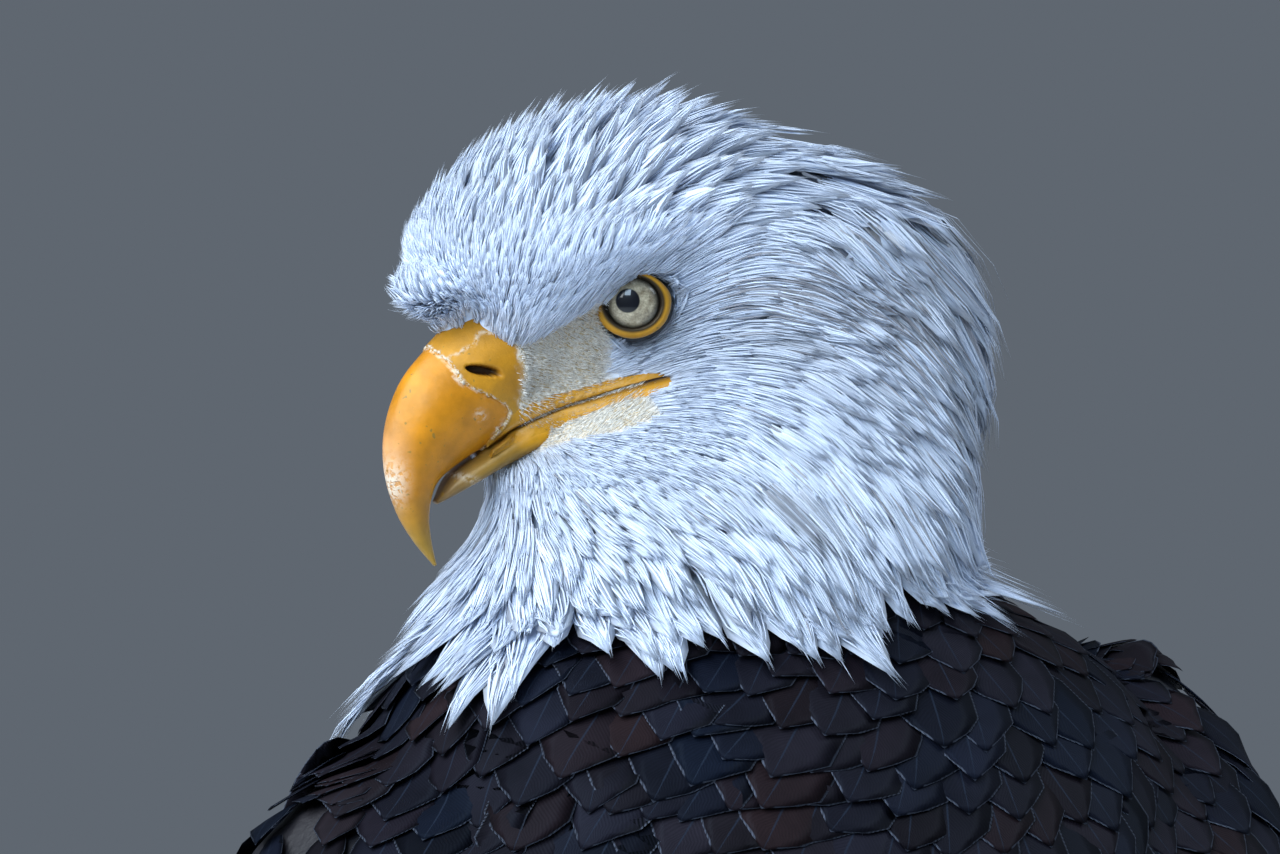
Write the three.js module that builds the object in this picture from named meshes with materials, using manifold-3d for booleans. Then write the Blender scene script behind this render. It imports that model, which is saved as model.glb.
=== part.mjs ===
// A bald eagle at life size, standing, with its head turned over its left shoulder.
// Millimetres, +Z up. The body faces -Y, its left side is +X, and the feet stand on z = 0.
// Each solid is the outline of its part with the feathers on, out to their tips.
import * as THREE from "three";
import { mergeVertices } from "three/addons/utils/BufferGeometryUtils.js";
import Module from "manifold-3d";

const wasm = await Module();
wasm.setup();

// ---- Driving dimensions ----
const GAP = 0.3; // between neighbouring parts
const HEAD_PLACE = [37, -74, 660]; // midway between the eyes
const HEAD_YAW = -2; // degrees from +X, so the head is turned 88 degrees to its left
const SHOULDERS = [0, -62, 560]; // where the body's own axis starts
const BODY_PITCH = 53.13; // degrees that the axis runs down towards the tail
const TAIL_PITCH = 58;
const TAIL_START = 296; // along the body's axis
const TAIL_LENGTH = 306;
const TAIL_HALF_WIDTH = 66;
const RIGHT_WING_LIFT = 20; // the right wing's bend is held this much higher
const RIGHT_WING_TUCK = 12; // and this much closer in
const RIGHT_WING_CORNER = 13; // its outer edge stands this much higher still, as a squarer bend
const WING_TIP = 588; // along the body's axis
const SECONDARIES_START = 215;
const PRIMARIES_START = 405;
const EYE_SPACING = 35; // between the centres of the two eyeballs
const EYE_BEHIND = -4.5; // the eyeballs' centres, along the head
const EYE_RADIUS = 10.5;
const LEG_SPACING = 104;
const FOOT_Y = 8; // of the joint where the toes meet
const HEEL_Y = 28;
const HEEL_Z = 112;
const TOE_JOINT_Z = 17;
const TARSUS_RADIUS = 9;

const PALETTE = {
  white: { color: 0xe6edf7, roughness: 0.85 },
  dark: { color: 0x1c2029, roughness: 0.7 },
  yellow: { color: 0xd9930f, roughness: 0.5 },
  iris: { color: 0xa39a76, roughness: 0.1 },
  black: { color: 0x14130f, roughness: 0.35 },
};

const radians = THREE.MathUtils.degToRad;
const lerp = THREE.MathUtils.lerp;
const smoothstep = THREE.MathUtils.smoothstep;
const vector = (x, y, z) => new THREE.Vector3(x, y, z);

// ---- Shapes made from stations ----

// The values of a table at a place between its rows, on a smooth curve. Column 0 holds the places.
function valuesAt(rows, place) {
  let i = 0;
  while (i < rows.length - 2 && place > rows[i + 1][0]) i += 1;
  const [before, start, end, after] = [rows[Math.max(i - 1, 0)], rows[i], rows[i + 1],
    rows[Math.min(i + 2, rows.length - 1)]];
  const step = end[0] - start[0];
  const t = (place - start[0]) / step;
  return start.map((value, column) => {
    const slopeIn = ((end[column] - before[column]) / (end[0] - before[0])) * step;
    const slopeOut = ((after[column] - value) / (after[0] - start[0])) * step;
    return value * (2 * t ** 3 - 3 * t ** 2 + 1) + slopeIn * (t ** 3 - 2 * t ** 2 + t)
      + end[column] * (3 * t ** 2 - 2 * t ** 3) + slopeOut * (t ** 3 - t ** 2);
  });
}

// Evenly spaced rows of the same table, from one place to another.
function stations(rows, count, from = rows[0][0], to = rows.at(-1)[0]) {
  return Array.from({ length: count }, (_, i) => valuesAt(rows, lerp(from, to, i / (count - 1))));
}

// An oval around (0, middle): half its width each way, and its own height above and below.
function oval(sides, halfWidth, above, below, middle = 0, square = 1) {
  return Array.from({ length: sides }, (_, i) => {
    const angle = (2 * Math.PI * i) / sides;
    const [across, up] = [Math.cos(angle), Math.sin(angle)];
    return [halfWidth * Math.sign(across) * Math.abs(across) ** square,
      middle + (up > 0 ? above : below) * Math.sign(up) * Math.abs(up) ** square];
  });
}

// The triangles of a flat face with a ring of points as its rim, as threes of places in the ring.
function cap(ring) {
  const normal = ring.reduce((sum, p, i) => sum.add(p.clone().cross(ring[(i + 1) % ring.length])),
    vector(0, 0, 0)).normalize();
  const turn = new THREE.Quaternion().setFromUnitVectors(normal, vector(0, 0, 1));
  const flat = ring.map((p) => p.clone().applyQuaternion(turn));
  const turned = ([a, b, c]) => (flat[b].x - flat[a].x) * (flat[c].y - flat[a].y)
    - (flat[b].y - flat[a].y) * (flat[c].x - flat[a].x);
  return THREE.ShapeUtils.triangulateShape(flat, [])
    .map((face) => (turned(face) > 0 ? face : [...face].reverse()));
}

// A closed solid through rings of points, with a flat face at each end.
function loft(rings) {
  const sides = rings[0].length;
  const last = (rings.length - 1) * sides;
  const faces = [];
  for (let i = 0; i < sides; i += 1) {
    const next = (i + 1) % sides;
    for (let row = 0; row < last; row += sides) {
      faces.push(row + i, row + next, row + sides + next, row + i, row + sides + next, row + sides + i);
    }
  }
  cap(rings[0]).forEach(([a, b, c]) => faces.push(c, b, a));
  cap(rings.at(-1)).forEach((face) => faces.push(...face.map((i) => last + i)));
  return solid(rings.flat(), faces);
}

// A manifold-3d solid from points and faces, turned right side out.
function solid(points, faces) {
  const geometry = new THREE.BufferGeometry().setFromPoints(points);
  geometry.setIndex(faces);
  const merged = mergeVertices(geometry, 1e-4);
  const vertProperties = merged.attributes.position.array;
  const make = (triVerts) => new wasm.Manifold(new wasm.Mesh({ numProp: 3, vertProperties, triVerts }));
  const made = make(new Uint32Array(merged.index.array));
  if (made.volume() > 0) return made;
  return make(new Uint32Array(Array.from(merged.index.array).reverse()));
}

// A solid from a three.js geometry.
function solidOf(geometry) {
  const bare = geometry.clone();
  bare.deleteAttribute("normal");
  bare.deleteAttribute("uv");
  const merged = mergeVertices(bare, 1e-4);
  const position = merged.attributes.position;
  const points = Array.from({ length: position.count }, (_, i) => vector().fromBufferAttribute(position, i));
  return solid(points, Array.from(merged.index.array));
}

// All that lies on the far side of a plane, as a large block, from the plane on along its normal.
function beyond(point, normal, reach = 900) {
  const block = new THREE.BoxGeometry(2 * reach, 2 * reach, reach).translate(0, 0, reach / 2);
  const turn = new THREE.Quaternion().setFromUnitVectors(vector(0, 0, 1), normal.clone().normalize());
  return solidOf(block.applyQuaternion(turn).translate(point.x, point.y, point.z));
}

// ---- The two frames that the parts are drawn in ----

// Head: f forwards, l to the head's left, h upwards, from midway between the eyes.
const yaw = radians(HEAD_YAW);
function headPoint(f, l, h) {
  return vector(HEAD_PLACE[0] + f * Math.cos(yaw) - l * Math.sin(yaw),
    HEAD_PLACE[1] + f * Math.sin(yaw) + l * Math.cos(yaw), HEAD_PLACE[2] + h);
}

// Body: s along the axis towards the tail, x to the left, n out of the back.
const axisY = Math.cos(radians(BODY_PITCH));
const axisZ = Math.sin(radians(BODY_PITCH));
function bodyPoint(s, x, n) {
  return vector(x, SHOULDERS[1] + s * axisY + n * axisZ, SHOULDERS[2] - s * axisZ + n * axisY);
}

const group = new THREE.Group();

function addPart(name, shape, { color, roughness }) {
  const { vertProperties, triVerts } = shape.getMesh();
  const geometry = new THREE.BufferGeometry();
  geometry.setAttribute("position", new THREE.BufferAttribute(new Float32Array(vertProperties), 3));
  geometry.setIndex(Array.from(triVerts));
  geometry.computeVertexNormals();
  const mesh = new THREE.Mesh(geometry, new THREE.MeshStandardMaterial({ color, roughness, metalness: 0 }));
  mesh.name = name;
  group.add(mesh);
}

// ---- Trunk ----
// Columns: place on the axis, half width, height of the back, depth of the breast, middle.
const TRUNK = [
  [-54, 30, 24, 22, -44],
  [-42, 66, 50, 38, -40],
  [-15, 93, 69, 68, -26],
  [25, 113, 77, 90, -12],
  [75, 121, 76, 102, -8],
  [135, 118, 70, 104, -6],
  [195, 105, 64, 92, -4],
  [250, 84, 54, 70, -2],
  [305, 59, 42, 49, -4],
  [350, 38, 27, 31, -8],
  [380, 22, 14, 17, -12],
];
function trunkShape(grow) {
  const rows = stations(TRUNK, 13);
  rows[0][0] -= grow;
  rows.at(-1)[0] += grow;
  return loft(rows.map(([s, half, back, breast, middle]) =>
    oval(22, half + grow, back + grow, breast + grow, middle, 0.88)
      .map(([x, n]) => bodyPoint(s, x, n))));
}

// ---- Neck: upright ovals, whose long way follows the head's ----
// Columns: height, middle x, middle y, half length in x, half width in y.
const NECK = [
  [528, 2, -62, 76, 66],
  [548, 7, -65, 81, 75],
  [574, 10, -64, 73, 69],
  [600, 6, -62, 65, 61],
  [626, -8, -66, 64, 54],
  [652, -25, -70, 50, 46],
  [676, -27, -72, 39, 40],
  [692, -28, -73, 28, 28],
  [699, -28, -73, 14, 14],
];
function neckShape() {
  return loft(stations(NECK, 9).map(([z, x, y, halfLength, halfWidth]) =>
    oval(18, halfLength, halfWidth, halfWidth).map(([dx, dy]) => vector(x + dx, y + dy, z))));
}

// ---- Head ----
// Columns: forwards, height of the top, height of the underside, half width.
const SKULL = [
  [-84, 20, -12, 20],
  [-76, 34, -30, 38],
  [-58, 45, -42, 47],
  [-38, 50.8, -46, 46],
  [-24, 52.4, -46, 43.5],
  [-13, 52.7, -46, 42],
  [-5, 52.3, -46, 41],
  [3, 51, -46, 39.5],
  [11, 48.5, -46, 37],
  [20, 45, -46, 34],
  [28, 41, -45, 31],
  [33, 37, -42, 28],
];
// The brow and the mouth, as forwards and height.
const BROW = [
  [-84, 12],
  [-14, 10],
  [1, 7.5],
  [11, 1],
  [24, -8],
  [34, -6],
];
const MOUTH = [
  [-84, -14],
  [-13, -18],
  [0, -21.5],
  [14, -26],
  [34, -36],
];
// The face's half width on the brow, under it, at the lips and along the jaw. It is open behind the ear.
const FACE = [
  [-84, 60, 60, 60, 60],
  [-38, 50, 50, 50, 50],
  [-24, 38, 35, 36, 40],
  [-13, 34, 28.5, 21, 31],
  [-5, 32, 24.2, 18.6, 27],
  [3, 31, 23.5, 16.5, 23],
  [11, 29, 20, 12.6, 16],
  [20, 25, 14, 8, 8],
  [28, 20, 9, 3, 3.5],
  [33, 16, 8, 2, 2.5],
];
const JAW_BELOW_MOUTH = 11;
const SKULL_ROUNDNESS = 2.3;
function skullRing([f, top, bottom, half]) {
  const [brow, mouth] = [valuesAt(BROW, f)[1], valuesAt(MOUTH, f)[1]];
  const [, onBrow, underBrow, atLips, onJaw] = valuesAt(FACE, f);
  const jaw = mouth - JAW_BELOW_MOUTH;
  const levels = [[lerp(top, brow, 0.08), half], [lerp(top, brow, 0.3), half], [lerp(top, brow, 0.65), half],
    [brow + 1, onBrow], [brow - 4, underBrow], [lerp(brow, mouth, 0.6), (underBrow + atLips) / 2],
    [mouth + 2.5, atLips], [mouth - 2.5, atLips], [jaw, onJaw], [lerp(jaw, bottom, 0.6), half]];
  const room = (top - bottom) / 40; // between one level and the next, at the least
  const leftSide = levels.map(([level, limit], i) => {
    const h = THREE.MathUtils.clamp(level, bottom + (levels.length - i) * room, top - (i + 1) * room);
    const fromMiddle = Math.abs((2 * h - top - bottom) / (top - bottom));
    return [Math.min(limit, half * (1 - fromMiddle ** SKULL_ROUNDNESS) ** (1 / SKULL_ROUNDNESS)), h];
  });
  const rightSide = leftSide.map(([l, h]) => [-l, h]).reverse();
  return [[0, top], ...leftSide, [0, bottom], ...rightSide].map(([l, h]) => headPoint(f, l, h));
}
// The forehead bulges over the root of the bill.
// Columns: forwards, half width, height above its middle, depth below it.
const FOREHEAD = [
  [18, 33, 33, 17],
  [30, 29, 29, 15.5],
  [38, 24, 24, 13],
  [43.5, 17, 17.5, 9.5],
  [46.4, 10, 10.5, 6],
  [47.6, 4, 4, 2.5],
];
const FOREHEAD_MIDDLE = 12;
function headShape() {
  const forehead = loft(FOREHEAD.map(([f, half, above, below]) =>
    oval(12, half, above, below, FOREHEAD_MIDDLE).map(([l, h]) => headPoint(f, l, h))));
  return loft(SKULL.map(skullRing)).add(forehead);
}

// ---- Bill ----
// Columns: place, then forwards and height of the ridge, forwards and height of the edge, half width.
const BILL = [
  [0, 20, 5, 6, -26, 15],
  [1, 33, -2, 17, -30.5, 13.2],
  [2, 44.4, -11.5, 29, -36.5, 10.8],
  [3, 51.8, -20, 37.6, -41.4, 9.3],
  [4, 56, -31, 42, -45, 7.5],
  [5, 56.2, -42, 43.8, -49, 5.9],
  [6, 53.2, -52, 44.3, -54.6, 4.1],
  [7, 48.6, -59.5, 43.4, -60.4, 2.5],
  [8, 42.8, -66.2, 42, -65.6, 0.8],
];
const CERE_EDGE = { point: [44.4, -11.5], along: [-16.4, -22.5] };
const TOMIAL_EDGE_WIDTH = 0.82; // of the widest, where the bill's sides reach its edge
function billShape(grow) {
  return loft(stations(BILL, 15).map(([, ridgeF, ridgeH, edgeF, edgeH, half]) => {
    const middle = [(ridgeF + edgeF) / 2, (ridgeH + edgeH) / 2];
    const toRidge = [(ridgeF - edgeF) / 2, (ridgeH - edgeH) / 2];
    const longer = 1 + grow / Math.hypot(...toRidge);
    return oval(12, half + grow, longer, longer, 0, 0.9).map(([l, up]) => {
      const taper = up > 0 ? 1 - 0.28 * up * up : lerp(1, TOMIAL_EDGE_WIDTH, -up);
      return headPoint(middle[0] + toRidge[0] * up, l * taper, middle[1] + toRidge[1] * up);
    });
  }));
}

// The yellow lips that run from the bill to the corner of the mouth.
// Columns: forwards, sideways, height, half height.
const UPPER_LIP = [
  [25, 10, -27, 4.6],
  [14, 13, -24.6, 2.7],
  [4, 16.6, -21.6, 2.3],
  [-6, 19.2, -19.4, 1.9],
  [-13.5, 20.8, -17.8, 1.1],
];
const LOWER_LIP = [
  [25, 8.6, -37.2, 3],
  [14, 12.4, -30.4, 2.4],
  [4, 16.2, -26, 1.7],
  [-6, 18.8, -22.9, 1.3],
  [-12.5, 20.4, -20.6, 0.8],
];
const LIP_HALF_THICKNESS = 2.4;
function lipShape(rows, side, grow) {
  const places = rows.map(([f, l, h, half]) => [-f, l, h, half]);
  return loft(stations(places, 5).map(([back, l, h, half]) =>
    oval(6, LIP_HALF_THICKNESS + grow, half + grow, half + grow)
      .map(([out, up]) => headPoint(-back, side * (l + out), h + up))));
}

// Columns: place, then forwards and height of the upper rim, forwards and height of the keel, half width.
const LOWER_BILL = [
  [0, 42.6, -49.6, 42, -50.6, 1.4],
  [1, 38, -44, 39, -49.2, 4.4],
  [2, 31, -39, 33, -46, 7],
  [3, 22, -33, 24.5, -41.5, 9.2],
  [4, 12, -28, 14, -37, 11.6],
  [5, 0, -25, 1, -33, 13],
];
function lowerBillShape() {
  return loft(stations(LOWER_BILL, 7).map(([, rimF, rimH, keelF, keelH, half]) =>
    oval(10, half, 1, 1, 0, 0.9).map(([l, up]) =>
      headPoint(lerp(keelF, rimF, (up + 1) / 2), l, lerp(keelH, rimH, (up + 1) / 2)))));
}

// A smooth pit, such as a nostril, as an egg with its own three half lengths.
function egg(centre, [length, width, height], tilt = 0) {
  const shape = new THREE.SphereGeometry(1, 8, 6).scale(length, width, height).rotateY(radians(tilt));
  return solidOf(shape.rotateZ(yaw).translate(centre.x, centre.y, centre.z));
}

// ---- Wings: shells that lie round the trunk ----
// Columns: place on the axis, half width, height, middle, first and last angle, thickness.
const WING = [
  [-6, 104, 26, -26, -30, 20, 9],
  [6, 126, 40, -26, -48, 34, 16],
  [26, 142, 58, -25, -50, 46, 22],
  [66, 147, 73, -16, -50, 55, 22],
  [130, 142, 82, -6, -38, 66, 18],
  [200, 124, 80, -3, -24, 75, 15],
  [270, 102, 70, -4, -10, 80, 12],
  [340, 78, 56, -8, 2, 82, 10],
  [410, 60, 43, -12, 8, 82, 9],
  [480, 46, 31, -16, 8, 80, 8],
  [540, 34, 20, -19, 0, 76, 6],
  [576, 26, 11, -20, 0, 74, 4],
  [WING_TIP, 15, 3, -18, 20, 60, 2],
];
function liftWing(point, s) {
  const share = smoothstep(Math.abs(point.x), 60, 126) * (1 - smoothstep(s, 0, 260));
  const corner = smoothstep(Math.abs(point.x), 100, 136) * (1 - smoothstep(s, 20, 170));
  point.z += RIGHT_WING_LIFT * share + RIGHT_WING_CORNER * corner;
  point.x += RIGHT_WING_TUCK * share;
}
function wingShape(side, from, to, count, extra) {
  const [outside, inside] = [9, 5];
  return loft(stations(WING, count, from, to).map(([s, half, height, middle, first, last, thick]) => {
    const at = (share, inward) => {
      const angle = radians(lerp(first, last, share));
      const edge = 1 - 0.55 * Math.abs(2 * share - 1) ** 6;
      const out = inward ? -thick * edge : extra * edge;
      const x = (half + out) * Math.cos(angle);
      const point = bodyPoint(s, side * x, middle + (height + out) * Math.sin(angle));
      if (side < 0) liftWing(point, s);
      return point;
    };
    const outer = Array.from({ length: outside }, (_, i) => at(i / (outside - 1), false));
    const inner = Array.from({ length: inside }, (_, i) => at(1 - i / (inside - 1), true));
    return [...outer, ...inner];
  }));
}

// ---- Tail: twelve feathers in one rounded fan ----
function tailShape() {
  const [dirY, dirZ] = [Math.cos(radians(TAIL_PITCH)), -Math.sin(radians(TAIL_PITCH))];
  const start = bodyPoint(TAIL_START, 0, -6);
  const across = 20;
  const along = 3;
  const surface = (share, run, face) => {
    const side = 2 * share - 1;
    const feather = Math.abs(Math.sin(6 * Math.PI * side));
    const length = TAIL_LENGTH - 26 * side * side - 5 * (1 - feather) * run;
    const half = lerp(24, TAIL_HALF_WIDTH, run ** 0.8);
    const thick = lerp(7, 1.6, run) * (1 - 0.5 * side ** 4);
    const arch = -10 * side * side * (1 - 0.4 * run);
    const out = arch + face * thick;
    return vector(side * half, start.y + dirY * length * run - dirZ * out,
      start.z + dirZ * length * run + dirY * out);
  };
  return loft(Array.from({ length: across + 1 }, (_, i) => {
    const top = Array.from({ length: along + 1 }, (__, j) => surface(i / across, j / along, 1));
    const under = Array.from({ length: along + 1 }, (__, j) => surface(i / across, 1 - j / along, -1));
    return [...top, ...under];
  }));
}

// ---- Legs ----
// Columns: height downwards, y, half width, half length. The feathered thighs hang like trousers.
const THIGH = [
  [-420, 24, 30, 44],
  [-360, 16, 48, 70],
  [-305, 8, 51, 76],
  [-250, 6, 48, 67],
  [-200, 9, 41, 54],
  [-155, 15, 33, 41],
  [-115, 22, 25, 29],
  [-88, 25, 17, 20],
];
function thighShape(side) {
  return loft(stations(THIGH, 8).map(([down, y, halfWidth, halfLength]) =>
    oval(14, halfWidth, halfLength, halfLength)
      .map(([dx, dy]) => vector(side * (LEG_SPACING / 2) + dx, y + dy, -down))));
}

function tube(points, radii, sides) {
  const curve = new THREE.CatmullRomCurve3(points);
  const steps = radii.length - 1;
  return loft(radii.map((radius, i) => {
    const centre = curve.getPoint(i / steps);
    const ahead = curve.getTangent(i / steps);
    const across = vector(0, 0, 1).cross(ahead);
    if (across.length() < 0.3) across.set(1, 0, 0);
    across.normalize();
    const up = ahead.clone().cross(across).normalize();
    return oval(sides, radius, radius, radius).map(([a, b]) =>
      centre.clone().addScaledVector(across, a).addScaledVector(up, b));
  }));
}

function tarsusShape(side) {
  const x = side * (LEG_SPACING / 2);
  const widths = [1.25, 1.12, 1, 0.96, 1, 1.12].map((share) => share * TARSUS_RADIUS);
  return tube([vector(x, HEEL_Y + 2, HEEL_Z + 22), vector(x, HEEL_Y - 5, (HEEL_Z + TOE_JOINT_Z) / 2),
    vector(x, FOOT_Y, TOE_JOINT_Z + 4)], widths, 8);
}

// Toes, seen from above on a left foot: angle outwards from straight ahead, length, radius,
// number of pads, and the radius of the claw's curve.
const TOES = [
  { angle: 168, length: 38, radius: 9, pads: 1, clawCurve: 27 },
  { angle: -30, length: 48, radius: 8.2, pads: 2, clawCurve: 25 },
  { angle: 3, length: 70, radius: 8, pads: 3, clawCurve: 23 },
  { angle: 40, length: 52, radius: 7.2, pads: 3, clawCurve: 20 },
];
const CLAW_START_ANGLE = 26;
const CLAW_END_ANGLE = -60;
const CLAW_RADIUS = 4.6;
const CLAW_TIP_HEIGHT = 0.8;

function toeDirection(side, angle) {
  return vector(side * Math.sin(radians(angle)), -Math.cos(radians(angle)), 0);
}
function clawDrop(toe) {
  return toe.clawCurve * (Math.cos(radians(CLAW_START_ANGLE)) - Math.cos(radians(CLAW_END_ANGLE)));
}
function clawStart(side, toe) {
  return vector(side * (LEG_SPACING / 2), FOOT_Y, CLAW_TIP_HEIGHT + clawDrop(toe))
    .addScaledVector(toeDirection(side, toe.angle), toe.length - 2);
}
function toeShape(side, toe) {
  const start = vector(side * (LEG_SPACING / 2), FOOT_Y, TOE_JOINT_Z - 3);
  const end = clawStart(side, toe);
  const middle = start.clone().lerp(end, 0.5);
  middle.z = toe.radius * 0.86;
  const steps = 2 * toe.pads + 2;
  const radii = Array.from({ length: steps + 1 }, (_, i) => {
    const run = i / steps;
    const pad = 0.9 * Math.cos(2 * Math.PI * toe.pads * run);
    return (toe.radius + pad) * lerp(1.08, 0.8, run) * (run === 1 ? 0.72 : 1);
  });
  return tube([start, middle, end], radii, 7);
}
function clawShape(side, toe) {
  const along = toeDirection(side, toe.angle);
  const start = clawStart(side, toe);
  const steps = 4;
  const rings = Array.from({ length: steps + 1 }, (_, i) => {
    const run = i / steps;
    const angle = radians(lerp(CLAW_START_ANGLE, CLAW_END_ANGLE, run));
    const first = radians(CLAW_START_ANGLE);
    const centre = start.clone()
      .addScaledVector(along, toe.clawCurve * (Math.sin(first) - Math.sin(angle)));
    centre.z += toe.clawCurve * (Math.cos(angle) - Math.cos(first));
    const radius = CLAW_RADIUS * (toe.clawCurve / 23) * (1 - run) ** 0.8 + 0.45;
    const up = along.clone().multiplyScalar(-Math.sin(angle)).setZ(Math.cos(angle));
    const across = vector(0, 0, 1).cross(along);
    return oval(6, 0.8 * radius, radius, radius).map(([a, b]) =>
      centre.clone().addScaledVector(across, a).addScaledVector(up, b));
  });
  return loft(rings);
}

// ---- Putting the bird together ----
const floor = beyond(vector(0, 0, 0), vector(0, 0, -1));
const trunkGrown = trunkShape(GAP);

// The head and neck are one form, parted by a thin slanting cut behind the cheeks.
const headNormal = headPoint(0.6, 0, 0.8).sub(headPoint(0, 0, 0));
const cutMiddle = headPoint(-47, 0, 0);
const cutHead = cutMiddle.clone().addScaledVector(headNormal, GAP / 2);
const cutNeck = cutMiddle.clone().addScaledVector(headNormal, -GAP / 2);
const hood = headShape().add(neckShape()).subtract(trunkGrown);

const lips = (rows, grow) => lipShape(rows, 1, grow).add(lipShape(rows, -1, grow));
const eyeCentre = (side) => headPoint(EYE_BEHIND, (side * EYE_SPACING) / 2, 0);
const eyeBall = (side, grow) => {
  const centre = eyeCentre(side);
  return solidOf(new THREE.SphereGeometry(EYE_RADIUS + grow, 12, 8).rotateX(Math.PI / 2)
    .translate(centre.x, centre.y, centre.z));
};
const nostrils = egg(headPoint(34.5, 10.6, -16.6), [4.2, 3, 1.5], -18)
  .add(egg(headPoint(34.5, -10.6, -16.6), [4.2, 3, 1.5], -18));
const upperGrown = billShape(GAP).add(lips(UPPER_LIP, GAP));
const lowerJaw = lowerBillShape().add(lips(LOWER_LIP, 0)).subtract(upperGrown);
const lowerGrown = lips(LOWER_LIP, GAP);

// The bill is parted from its soft base, the cere, by a slanting cut.
const [edgeF, edgeH] = CERE_EDGE.point;
const [downF, downH] = CERE_EDGE.along;
const billNormal = headPoint(-downH, 0, downF).sub(headPoint(0, 0, 0)).normalize();
const edgePoint = headPoint(edgeF, 0, edgeH);
const ahead = (offset) => beyond(edgePoint.clone().addScaledVector(billNormal, offset), billNormal);
const wholeUpper = billShape(0).add(lips(UPPER_LIP, 0)).subtract(nostrils);
const insideHead = beyond(headPoint(-16, 0, 0), headPoint(-1, 0, 0).sub(headPoint(0, 0, 0)));

const headCore = hood.intersect(beyond(cutHead, headNormal))
  .subtract(upperGrown).subtract(lowerGrown).subtract(lowerBillShape())
  .subtract(eyeBall(1, GAP)).subtract(eyeBall(-1, GAP));
addPart("head", headCore, PALETTE.white);
addPart("neck", hood.subtract(beyond(cutNeck, headNormal)), PALETTE.white);
addPart("bill_upper", wholeUpper.intersect(ahead(GAP / 2)), PALETTE.yellow);
addPart("cere", wholeUpper.subtract(ahead(-GAP / 2)).subtract(insideHead), PALETTE.yellow);
addPart("bill_lower", lowerJaw, PALETTE.yellow);
addPart("eye_left", eyeBall(1, 0), PALETTE.iris);
addPart("eye_right", eyeBall(-1, 0), PALETTE.iris);
addPart("trunk", trunkShape(0), PALETTE.dark);

for (const [side, name] of [[1, "left"], [-1, "right"]]) {
  const panel = (from, to, count, extra) => wingShape(side, from, to, count, extra).subtract(trunkGrown);
  addPart(`wing_${name}_arm`, panel(WING[0][0], SECONDARIES_START, 9, 1.5), PALETTE.dark);
  addPart(`wing_${name}_secondaries`,
    panel(SECONDARIES_START + GAP, PRIMARIES_START, 6, 0.5), PALETTE.dark);
  addPart(`wing_${name}_primaries`, panel(PRIMARIES_START + GAP, WING_TIP, 7, 0), PALETTE.dark);
  addPart(`thigh_${name}`, thighShape(side).subtract(trunkGrown), PALETTE.dark);
}
addPart("tail", tailShape().subtract(trunkGrown), PALETTE.white);

for (const [side, name] of [[1, "left"], [-1, "right"]]) {
  const claws = TOES.map((toe) => clawShape(side, toe));
  const foot = TOES.map((toe) => toeShape(side, toe)).reduce((whole, toe) => whole.add(toe));
  const bareFoot = claws.reduce((left, claw) => left.subtract(claw), foot).subtract(floor);
  addPart(`tarsus_${name}`, tarsusShape(side).subtract(thighShape(side)).subtract(foot), PALETTE.yellow);
  addPart(`foot_${name}`, bareFoot, PALETTE.yellow);
  claws.forEach((claw, i) => addPart(`claw_${name}_${i + 1}`, claw.subtract(foot), PALETTE.black));
}

// The origin is under the middle of the bird's box, on the floor.
const box = new THREE.Box3().setFromObject(group);
group.children.forEach((mesh) => mesh.geometry.translate(
  -(box.min.x + box.max.x) / 2, -(box.min.y + box.max.y) / 2, 0));

export default group;
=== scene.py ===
# A bald eagle at life size, standing, with its head turned over its left shoulder.
from math import cos, pi, radians, sin

import bmesh
import bpy
import numpy as np
from mathutils import Matrix, Vector
from mathutils.bvhtree import BVHTree


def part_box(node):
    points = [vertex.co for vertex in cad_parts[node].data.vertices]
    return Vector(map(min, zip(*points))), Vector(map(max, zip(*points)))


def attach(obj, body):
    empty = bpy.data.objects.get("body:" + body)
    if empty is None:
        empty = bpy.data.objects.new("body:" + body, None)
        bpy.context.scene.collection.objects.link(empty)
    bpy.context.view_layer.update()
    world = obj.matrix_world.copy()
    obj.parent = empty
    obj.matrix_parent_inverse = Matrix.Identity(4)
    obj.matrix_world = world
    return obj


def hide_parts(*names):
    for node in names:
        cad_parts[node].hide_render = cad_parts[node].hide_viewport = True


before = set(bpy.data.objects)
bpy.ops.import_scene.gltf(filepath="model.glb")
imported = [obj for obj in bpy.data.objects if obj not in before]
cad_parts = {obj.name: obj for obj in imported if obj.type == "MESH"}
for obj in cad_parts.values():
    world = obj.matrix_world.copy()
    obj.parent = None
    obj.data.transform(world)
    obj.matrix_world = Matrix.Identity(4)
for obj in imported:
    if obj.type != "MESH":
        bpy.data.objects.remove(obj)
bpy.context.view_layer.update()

# ---- Camera ----
# A long lens level with the bird's shoulders looks at the left side of its turned head.
# Everything about the head is placed from the two eyeballs: forwards, to its left and up.
CAMERA_AZIMUTH = 150
CAMERA_ELEVATION = 3
CAMERA_DISTANCE = 2.22
LENS_LENGTH = 249.75  # millimetres, before a 36 mm wide sensor
EYES_BEHIND_FACE = 0.0045
AIM_LEFT, AIM_RIGHT, AIM_DOWN = 0.026, 0.00175, 0.031  # from the head: to its left, then in the view


def middle_of(node):
    low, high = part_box(node)
    return (Vector(low) + Vector(high)) / 2


LEFT = (middle_of("eye_left") - middle_of("eye_right")).normalized()
FORWARD = LEFT.cross(Vector((0, 0, 1))).normalized()
HEAD = (middle_of("eye_left") + middle_of("eye_right")) / 2 + FORWARD * EYES_BEHIND_FACE


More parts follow.
